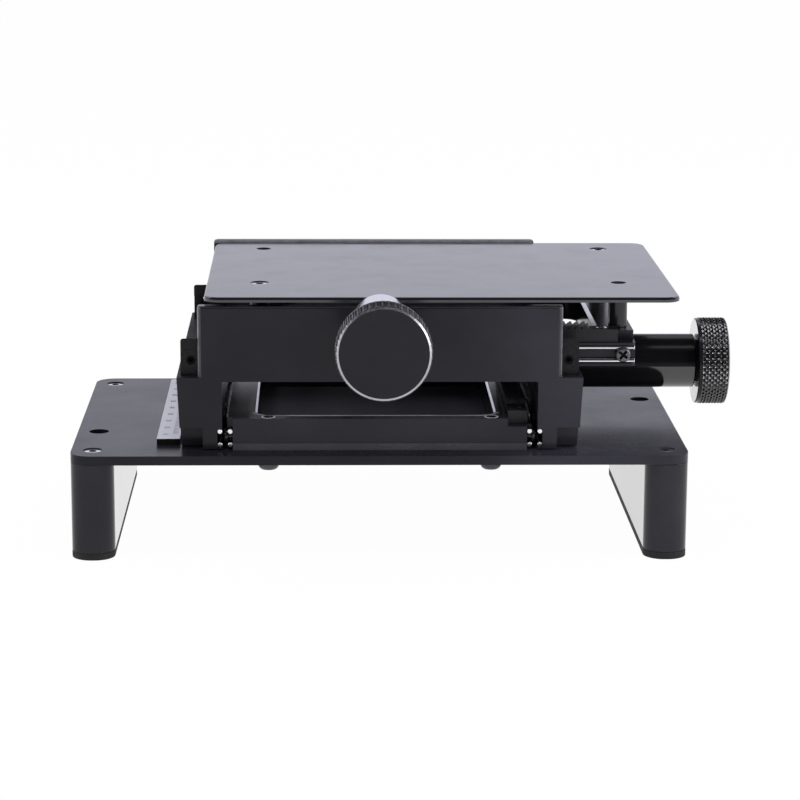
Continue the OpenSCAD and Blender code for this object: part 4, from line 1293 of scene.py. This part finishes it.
@dataclass
class Carriage:
    """The carriage that slides front to back, with both barrels."""

    body: str = "y_carriage"
    edge: float = 0.35 * MM
    barrel_edge: float = 0.4 * MM
    bush_edge: float = 0.15 * MM
    washer_edge: float = 0.08 * MM
    polish_drop: float = 0.6 * MM
    bar_drop: float = 1.2 * MM
    bar_taper: float = 1.2 * MM
    block_edge: float = 59.0 * MM
    block_depth: float = 5 * MM
    block_rise: float = 0.6 * MM
    block_round: float = 0.85 * MM
    block_slope: float = 0.2
    block_front: float = 4 * MM
    below_bar: float = 1.4 * MM
    corner_start: float = 56.9 * MM
    corner_bands: tuple[float, float, float] = (0.7 * MM, 1.45 * MM, 2.0 * MM)
    corner_skin: tuple[float, float] = (0.02 * MM, 2.05 * MM)
    wall_depth: float = 5 * MM
    wall_round: float = 0.8 * MM
    back_start: float = 50 * MM
    back_depth: float = 4.2 * MM
    back_inset: float = 1.4 * MM
    back_margin: float = 0.3 * MM
    lip_depth: float = 3.2 * MM
    lip_split: float = 0.3 * MM
    lip_drop: float = 0.5 * MM
    beam_depth: float = 11.1 * MM
    mark_count: int = 51
    mark_inset: float = 1.1 * MM
    mark_length: float = 0.9 * MM
    mark_growth: float = 0.8 * MM
    mark_width: float = 0.16 * MM

    def build(self, marks: NodeTree) -> None:
        """Dresses the carriage.

        Args:
            marks: the tree that draws scale marks.
        """
        self.frame()
        for place in ("left", "right", "front", "back"):
            eased(f"carriage_{place}_rods", self.body, "bright_steel", ROD_STEEL, SMALL_EDGE)
        # The set screws sunk in their holes are painted as shade
        eased("rod_set_screws", self.body, "screw_steel", PAINTED_SHADE_BLACK, SMALL_EDGE)
        self.barrels()
        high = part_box("carriage_frame")[1]
        start = Vector(((1 - self.mark_count) / 2 * MM, high.y - self.mark_inset, high.z + MARK_LIFT))
        piece = grown(marks, bpy.data.meshes.new("x_scale_marks"), "x_scale_marks",
                      {"Start": start, "Step": (MM, 0.0, 0.0), "Count": self.mark_count,
                       "Bar": (self.mark_width, self.mark_length, MARK_HEIGHT), "Side": (0.0, self.mark_growth, 0.0),
                       "Finish": MARK_PALE.material()})
        adopt(piece, self.body, "anodised_frame")

    @property
    def bar_top(self) -> float:
        """Gives the height of the side bars' tops."""
        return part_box("x_frame")[0].z - self.bar_drop

    def frame(self) -> None:
        """Dresses the carriage's frame, with rough end blocks, painted highlights on the front wall's rounded corners
        and a painted reflection on the back lip.
        """
        low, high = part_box("carriage_frame")
        bar_top = self.bar_top
        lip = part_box("top_plate")[1].z - self.lip_drop

        def block_face(middle: Vector) -> bool:
            """Tells whether a face is the rough outside of an end block."""
            outside = abs(middle.y - (low.y + high.y) / 2) > (high.y - low.y) / 2 - self.block_depth
            return abs(middle.x) > self.block_edge and outside and middle.z > bar_top - self.below_bar

        def wall_corner(start: float, end: float) -> Pick:
            """Gives the rule for one band of painted highlight on the rounded upright corners of the front wall.

            Args:
                start: where the part starts, counted outwards from the corner's inner end.
                end: where it ends.

            Returns:
                The rule, for the middle of a face.
            """
            first, last = (low.y + skin for skin in self.corner_skin)
            return lambda middle: (self.corner_start + start < abs(middle.x) < self.corner_start + end
                                   and middle.z > bar_top - self.below_bar and first < middle.y < last)

        def bar_upper(middle: Vector) -> bool:
            """Tells whether a face is the top of a side bar."""
            return abs(middle.z - bar_top) < NEAR_PLANE

        def back_lip(middle: Vector) -> bool:
            """Tells whether a face is on the upper part of the back wall, which is painted light grey as a painted
            reflection.
            """
            return middle.z > lip

        # The wall's corners get painted highlights and the back lip a painted reflection
        start, turn, end = self.corner_bands
        eased("carriage_frame", self.body, "anodised_frame", SATIN_BLACK, self.edge,
              patches=[(block_face, BLOCK_CAST), (wall_corner(start, turn), CORNER_HALF_HIGHLIGHT),
                       (wall_corner(turn, end), CORNER_PAINTED_HIGHLIGHT), (back_lip, LIP_PAINTED_REFLECTION), (bar_upper, DULL_BLACK)],
              reshape=self.shape_frame)

    def barrels(self) -> None:
        """Dresses both barrels, with their screws, bushes and washers."""
        low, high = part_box("y_barrel")

        def underside(middle: Vector) -> bool:
            """Tells whether a face is on the underside of the side barrel, which reflects strongly while the top's
            weak reflection stands as painted shade.
            """
            return middle.z < (low.z + high.z) / 2 - self.polish_drop

        eased("x_barrel", self.body, "anodised_gloss", BARREL_BARE, self.barrel_edge)
        eased("y_barrel", self.body, "anodised_gloss", GLOSS_BLACK, self.barrel_edge,
              patches=[(underside, GLOSS_LIT_UNDERSIDE)])
        for axis in ("x", "y"):
            eased(f"{axis}_barrel_screws", self.body, "screw_steel", SCREW_BLACK, SMALL_EDGE)
            eased(f"{axis}_bushes", self.body, "bronze", BRONZE, self.bush_edge)
            eased(f"{axis}_drag_washer", self.body, "nylon", NYLON, self.washer_edge)

    def shape_frame(self, shape: BMesh) -> None:
        """Tapers the side bars, slopes and rounds the end blocks and shapes the walls.

        The back wall's ends are stood in, and the walls' upper edges rounded.

        Args:
            shape: the copy of the carriage.
        """
        low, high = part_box("carriage_frame")
        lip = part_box("top_plate")[1].z - self.lip_split
        split_at(shape, lambda middle: middle.y > high.y - self.lip_depth, 2, lip)
        block_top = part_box("x_frame")[1].z + self.block_rise
        crown = [vert for vert in shape.verts if abs(vert.co.z - block_top) < ON_PLANE]
        outside = max(abs(vert.co.x) for vert in crown)
        corner = {vert for vert in crown if abs(vert.co.x) > outside - NEAR_PLANE}
        for vert in shape.verts:
            side = math.copysign(1.0, vert.co.x)
            if abs(vert.co.x) > high.x - NEAR_PLANE:
                rise = (vert.co.z - low.z) / (self.bar_top - low.z)
                vert.co.x += side * self.bar_taper * (rise - 0.5)
            if abs(vert.co.z - block_top) < ON_PLANE:
                front = vert.co.y < (low.y + high.y) / 2
                start = low.y + self.block_front if front else high.y - self.beam_depth
                vert.co.z -= self.block_slope * max(0.0, vert.co.y - start)
            behind = vert.co.y > high.y - self.back_depth
            if behind and self.back_start < abs(vert.co.x) < self.block_edge + self.back_margin:
                vert.co.x -= side * self.back_inset
        ends = [edge for edge in shape.edges if all(vert in corner for vert in edge.verts)]
        log.info("carriage_frame: %d corners of its end blocks are rounded", len(ends))
        rounded(shape, ends, self.block_round)
        wall_top = max(vert.co.z for vert in shape.verts if vert.co.y < low.y + self.wall_depth)
        upper = [edge for edge in shape.edges
                 if is_corner(edge) and (lies_at(edge, wall_top) or lies_at(edge, high.z))]
        rounded(shape, upper, self.wall_round)


@dataclass
class UpperFrame:
    """The upper frame and the top plate on its posts."""

    body: str = "x_carriage"
    frame_edge: float = 0.3 * MM
    post_edge: float = 0.2 * MM
    window_rim: float = 1.3 * MM
    window_side: float = 10 * MM
    window_front: float = 9.2 * MM
    window_back: float = 4.4 * MM
    plate_edge: float = 0.12 * MM
    plate_chamfer: float = 0.75 * MM
    outline_reach: float = 2 * MM
    front_reach: float = 1.2 * MM

    def build(self, screws: NodeTree) -> None:
        """Dresses the upper frame.

        Args:
            screws: the tree that sets screws.
        """
        self.frame()
        self.plate()
        for side in ("front", "back"):
            eased(f"x_{side}_rods", self.body, "bright_steel", ROD_STEEL, SMALL_EDGE)
        eased("x_rack", self.body, "blackened_steel", RACK_BLACK, RACK_EDGE, 1)
        for node, finish in (("plate_posts", SATIN_BLACK), ("accessory_posts", POST_BLACK)):
            eased(node, self.body, "blackened_steel", finish, self.post_edge)
        for node, form, head, finish in (("x_stop_screws", PAN_M25, Head.END, STOP_STEEL),
                                         ("top_plate_screws", CSK_M3_SHORT, Head.UP, SCREW_STEEL),
                                         ("x_rack_screws", CSK_M25, Head.UP, SCREW_STEEL)):
            ScrewSet(node, self.body, form, head, finish).build(screws)

    def plate(self) -> None:
        """Dresses the top plate, with a chamfer round its upper edge that carries painted shade in front."""
        low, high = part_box("top_plate")

        def at_outline(point: Vector) -> bool:
            """Tells whether a point lies near the plate's outline."""
            return min(point.x - low.x, high.x - point.x, point.y - low.y, high.y - point.y) < self.outline_reach

        def cut_chamfer(shape: BMesh) -> None:
            """Chamfers the plate's outer upper edge.

            Args:
                shape: the copy of the plate.
            """
            outer = [edge for edge in shape.edges if lies_at(edge, high.z) and is_corner(edge)
                     and all(at_outline(vert.co) for vert in edge.verts)]
            rounded(shape, outer, self.plate_chamfer, 2)

        def front_chamfer(middle: Vector) -> bool:
            """Tells whether a face is on the front part of that chamfer, which is painted as shade."""
            sloping = high.z - self.plate_chamfer < middle.z < high.z - ON_PLANE
            return sloping and middle.y - low.y < self.front_reach

        eased("top_plate", self.body, "anodised_plate", PLATE_BLACK, self.plate_edge,
              patches=[(front_chamfer, PAINTED_SHADE_BLACK)], reshape=cut_chamfer)

    def frame(self) -> None:
        """Dresses the upper frame, with a bare chamfer round its window."""
        low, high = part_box("x_frame")
        spans = ((low.x + self.window_side, high.x - self.window_side),
                 (low.y + self.window_front, high.y - self.window_back))

        def window(middle: Vector) -> bool:
            """Tells whether an edge is on the upper rim of the window."""
            return within(middle, spans) and middle.z > high.z - ON_PLANE

        eased("x_frame", self.body, "anodised_frame", FRAME_BRUSHED, self.frame_edge, rim=window,
              rim_width=self.window_rim)


class Facing(Enum):
    """Where a knob's face points, as the axis about which it is turned there."""

    FRONT = "X"
    RIGHT = "Y"

    def turn(self) -> Matrix:
        """Gives the rotation that takes +Z to the knob's outward direction."""
        return Matrix.Rotation(math.pi / 2, 4, self.value)


class KnobZone(IntEnum):
    """The parts of a knob's surface, by their material index."""

    FACE = 0
    RIM = 1
    GROOVES = 2
    BACK = 3
    TIPS = 4


@dataclass
class Knob:
    """A turned knob with a diamond knurl cut into its rim."""

    axis: str
    facing: Facing
    grooves: int = 47
    groove_depth: float = 0.55 * MM
    ridge_width: float = 1.2
    tip_depth: float = 0.09 * MM
    back_band: float = 1.35 * MM
    back_step: float = 0.25 * MM
    band_gap: float = 0.05 * MM
    bore_share: float = 0.2
    chamfer: float = 0.55 * MM
    chamfer_share: float = 0.6
    shoulder: float = 0.45 * MM
    rim_width: float = 1.05 * MM
    face_cuts: int = 14
    face_cut_depth: float = 0.02 * MM
    samples_round: int = 9
    samples_along: float = 0.2 * MM
    sharp_from: float = 25.0

    @property
    def body(self) -> str:
        """Names the body that turns with the knob."""
        return f"{self.axis}_drive"

    def build(self) -> None:
        """Cuts the knob and dresses its shaft, pinion, ring and screw."""
        low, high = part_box(f"{self.axis}_knob")
        size = high - low
        mesh = self.mesh(size.z / 2, size.y if self.facing is Facing.FRONT else size.x)
        mesh.transform(Matrix.Translation((low + high) / 2) @ self.facing.turn())
        piece = show(mesh, f"{self.axis}_knob_dressed", [KNOB_BLACK, KNOB_RIM, KNURL_BLACK, KNOB_BACK, KNURL_TIP],
                     self.sharp_from)
        adopt(piece, self.body, "anodised_gloss", f"{self.axis}_knob")
        for part, slot, finish, edge, segments in (("shaft", "bright_steel", ROD_STEEL, 0.1 * MM, 2),
                                                   ("pinion", "bright_steel", GEAR_STEEL, 0.04 * MM, 1),
                                                   ("retaining_ring", "screw_steel", SCREW_BLACK, 0.05 * MM, 2),
                                                   ("knob_set_screw", "screw_steel", SCREW_BLACK, 0.1 * MM, 2)):
            eased(f"{self.axis}_{part}", self.body, slot, finish, edge, segments)

    def mesh(self, radius: float, thick: float) -> Mesh:
        """Builds the knob about the origin, with its outer face towards +Z.

        Args:
            radius: the knob's radius over the knurl.
            thick: the knob's thickness.

        Returns:
            The knob's mesh, with a material index for each of its zones.
        """
        half = thick / 2
        start, end = self.back_band - half, half - self.chamfer
        rows = max(2, round((end - start) / self.samples_along))
        shaft_low, shaft_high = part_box(f"{self.axis}_shaft")
        bore = (shaft_high.z - shaft_low.z) / 2
        profile = [(bore, self.bore_share * thick - half, False), (bore, -half, False),
                   (radius - 2 * self.back_step, -half, False),
                   (radius - self.back_step, self.back_step - half, False),
                   (radius - self.back_step, start - self.band_gap, False)]
        first_row = len(profile)
        profile += [(radius, start + (end - start) * k / rows, True) for k in range(rows + 1)]
        profile += [(radius - self.shoulder, half - self.chamfer_share * self.chamfer, False),
                    (radius - self.rim_width, half, False)]
        shape = bmesh.new()
        rings = [self._ring(shape, reach, height, knurled) for reach, height, knurled in profile]
        for number, (lower, upper) in enumerate(zip(rings, rings[1:])):
            zone = KnobZone.BACK if number == 1 else KnobZone.FACE
            if number == len(rings) - 2:
                zone = KnobZone.RIM
            elif number >= first_row:
                zone = KnobZone.GROOVES
            for face in band(shape, lower, upper):
                middle = face.calc_center_median()
                tip = zone is KnobZone.GROOVES and math.hypot(middle.x, middle.y) > radius - self.tip_depth
                face.material_index = KnobZone.TIPS if tip else zone
        self._close_face(shape, rings[-1], half, radius - self.rim_width)
        shape.faces.new(list(reversed(rings[0])))
        return mesh_from(shape, f"{self.axis}_knob_cut")

    def _close_face(self, shape: BMesh, edge: list[BMVert], half: float, reach: float) -> None:
        """Closes the outer face with fine turned rings.

        Args:
            shape: the knob so far.
            edge: the ring at the face's edge.
            half: height of the face.
            reach: radius of that ring.
        """
        last = edge
        for cut in range(1, self.face_cuts):
            level = half - (self.face_cut_depth if cut % 2 else 0.0)
            made = self._ring(shape, reach * (1 - cut / self.face_cuts), level, False)
            band(shape, last, made)
            last = made
        shape.faces.new(last)

    def _ring(self, shape: BMesh, radius: float, height: float, knurled: bool) -> list[BMVert]:
        """Adds one ring of the knob, cut back where the knurl's grooves cross it.

        Args:
            shape: the bmesh being built.
            radius: radius before the cut.
            height: height along the axis.
            knurled: whether the knurl cuts here.

        Returns:
            The ring's points.
        """
        pitch = 2 * math.pi * radius / self.grooves

        def cut_radius(angle: float) -> float:
            """Gives the ring's radius at an angle.

            Args:
                angle: direction in radians.

            Returns:
                The radius, less the depth of a groove that crosses it there.
            """
            if not knurled:
                return radius
            turn = angle / (2 * math.pi) * self.grooves
            ridge = min(abs(((turn + slant) % 1.0) - 0.5) for slant in (height / pitch, -height / pitch)) * 2
            return radius - self.groove_depth * (1.0 - min(1.0, ridge * self.ridge_width))

        return ring(shape, self.grooves * self.samples_round, height, cut_radius)


def numeral(text: str, name: str, place: Vector, height: float) -> Object:
    """Makes a flat number that reads from the left side of the stage.

    Args:
        text: the digits.
        name: the piece's name.
        place: where the middle of the number lies.
        height: height of the digits, in metres.

    Returns:
        The number as a mesh, not yet riding on a body.
    """
    curve = bpy.data.curves.new(name, "FONT")
    curve.body = text
    curve.size = height * DIGIT_SCALE
    curve.align_x = "CENTER"
    curve.align_y = "CENTER"
    curve.extrude = DIGIT_DEPTH
    writing = place_piece(name, curve)
    mesh = evaluated(writing)
    bpy.data.objects.remove(writing)
    mesh.transform(Matrix.Translation(place) @ Matrix.Rotation(-math.pi / 2, 4, "Z"))
    return show(mesh, name, [MARK_BLACK])


CSK_M3_HEAD = ((1.5, -1.65), (2.72, -0.42), (2.76, -0.35), (2.66, -0.3))
CSK_M3 = ScrewForm(((1.5, -12.0), *CSK_M3_HEAD), Recess.HEX, 1.45, 1.1)
CSK_M3_SHORT = ScrewForm(((1.5, -7.0), *CSK_M3_HEAD), Recess.HEX, 1.45, 1.1)
CSK_M25 = ScrewForm(((1.25, -8.0), (1.25, -0.75), (1.92, -0.1), (1.96, -0.04), (1.9, 0.0)), Recess.HEX, 0.85, 0.55)
PAN_M25 = ScrewForm(((1.25, -7.4), (1.25, -1.3), (2.35, -1.3), (2.44, -1.2), (2.44, -0.5), (2.3, -0.2),
                     (2.05, -0.04), (1.9, 0.0)), Recess.CROSS, 1.75, 0.9, math.radians(38))
ROUND_M3 = ScrewForm(((1.5, -13.7), (1.5, -4.0), (3.45, -4.0), (3.5, -3.9), (3.5, -1.85), (3.36, -1.2),
                      (2.98, -0.54), (2.4, -0.14), (1.75, 0.0)), Recess.HEX, 1.2, 2.0)

FRAME: dict = {}


def main() -> None:
    """Builds the stage and every sub-assembly in turn."""
    logging.basicConfig(level=logging.INFO, format="%(message)s")
    FRAME.update(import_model())
    Stage().build()
    screws = instance_tree("screw_places")
    marks = marks_tree("scale_marks")
    Base().build(screws, marks)
    Carriage().build(marks)
    UpperFrame().build(screws)
    for axis, facing in (("x", Facing.FRONT), ("y", Facing.RIGHT)):
        Knob(axis, facing).build()
        train = f"{axis}_ball_train"
        eased(f"{axis}_balls", train, "bright_steel", ROD_STEEL, BALL_EDGE, 1)
        eased(f"{axis}_ball_cages", train, "bronze", CAGE_STEEL, CAGE_EDGE, 1)


if __name__ == "__main__":
    main()
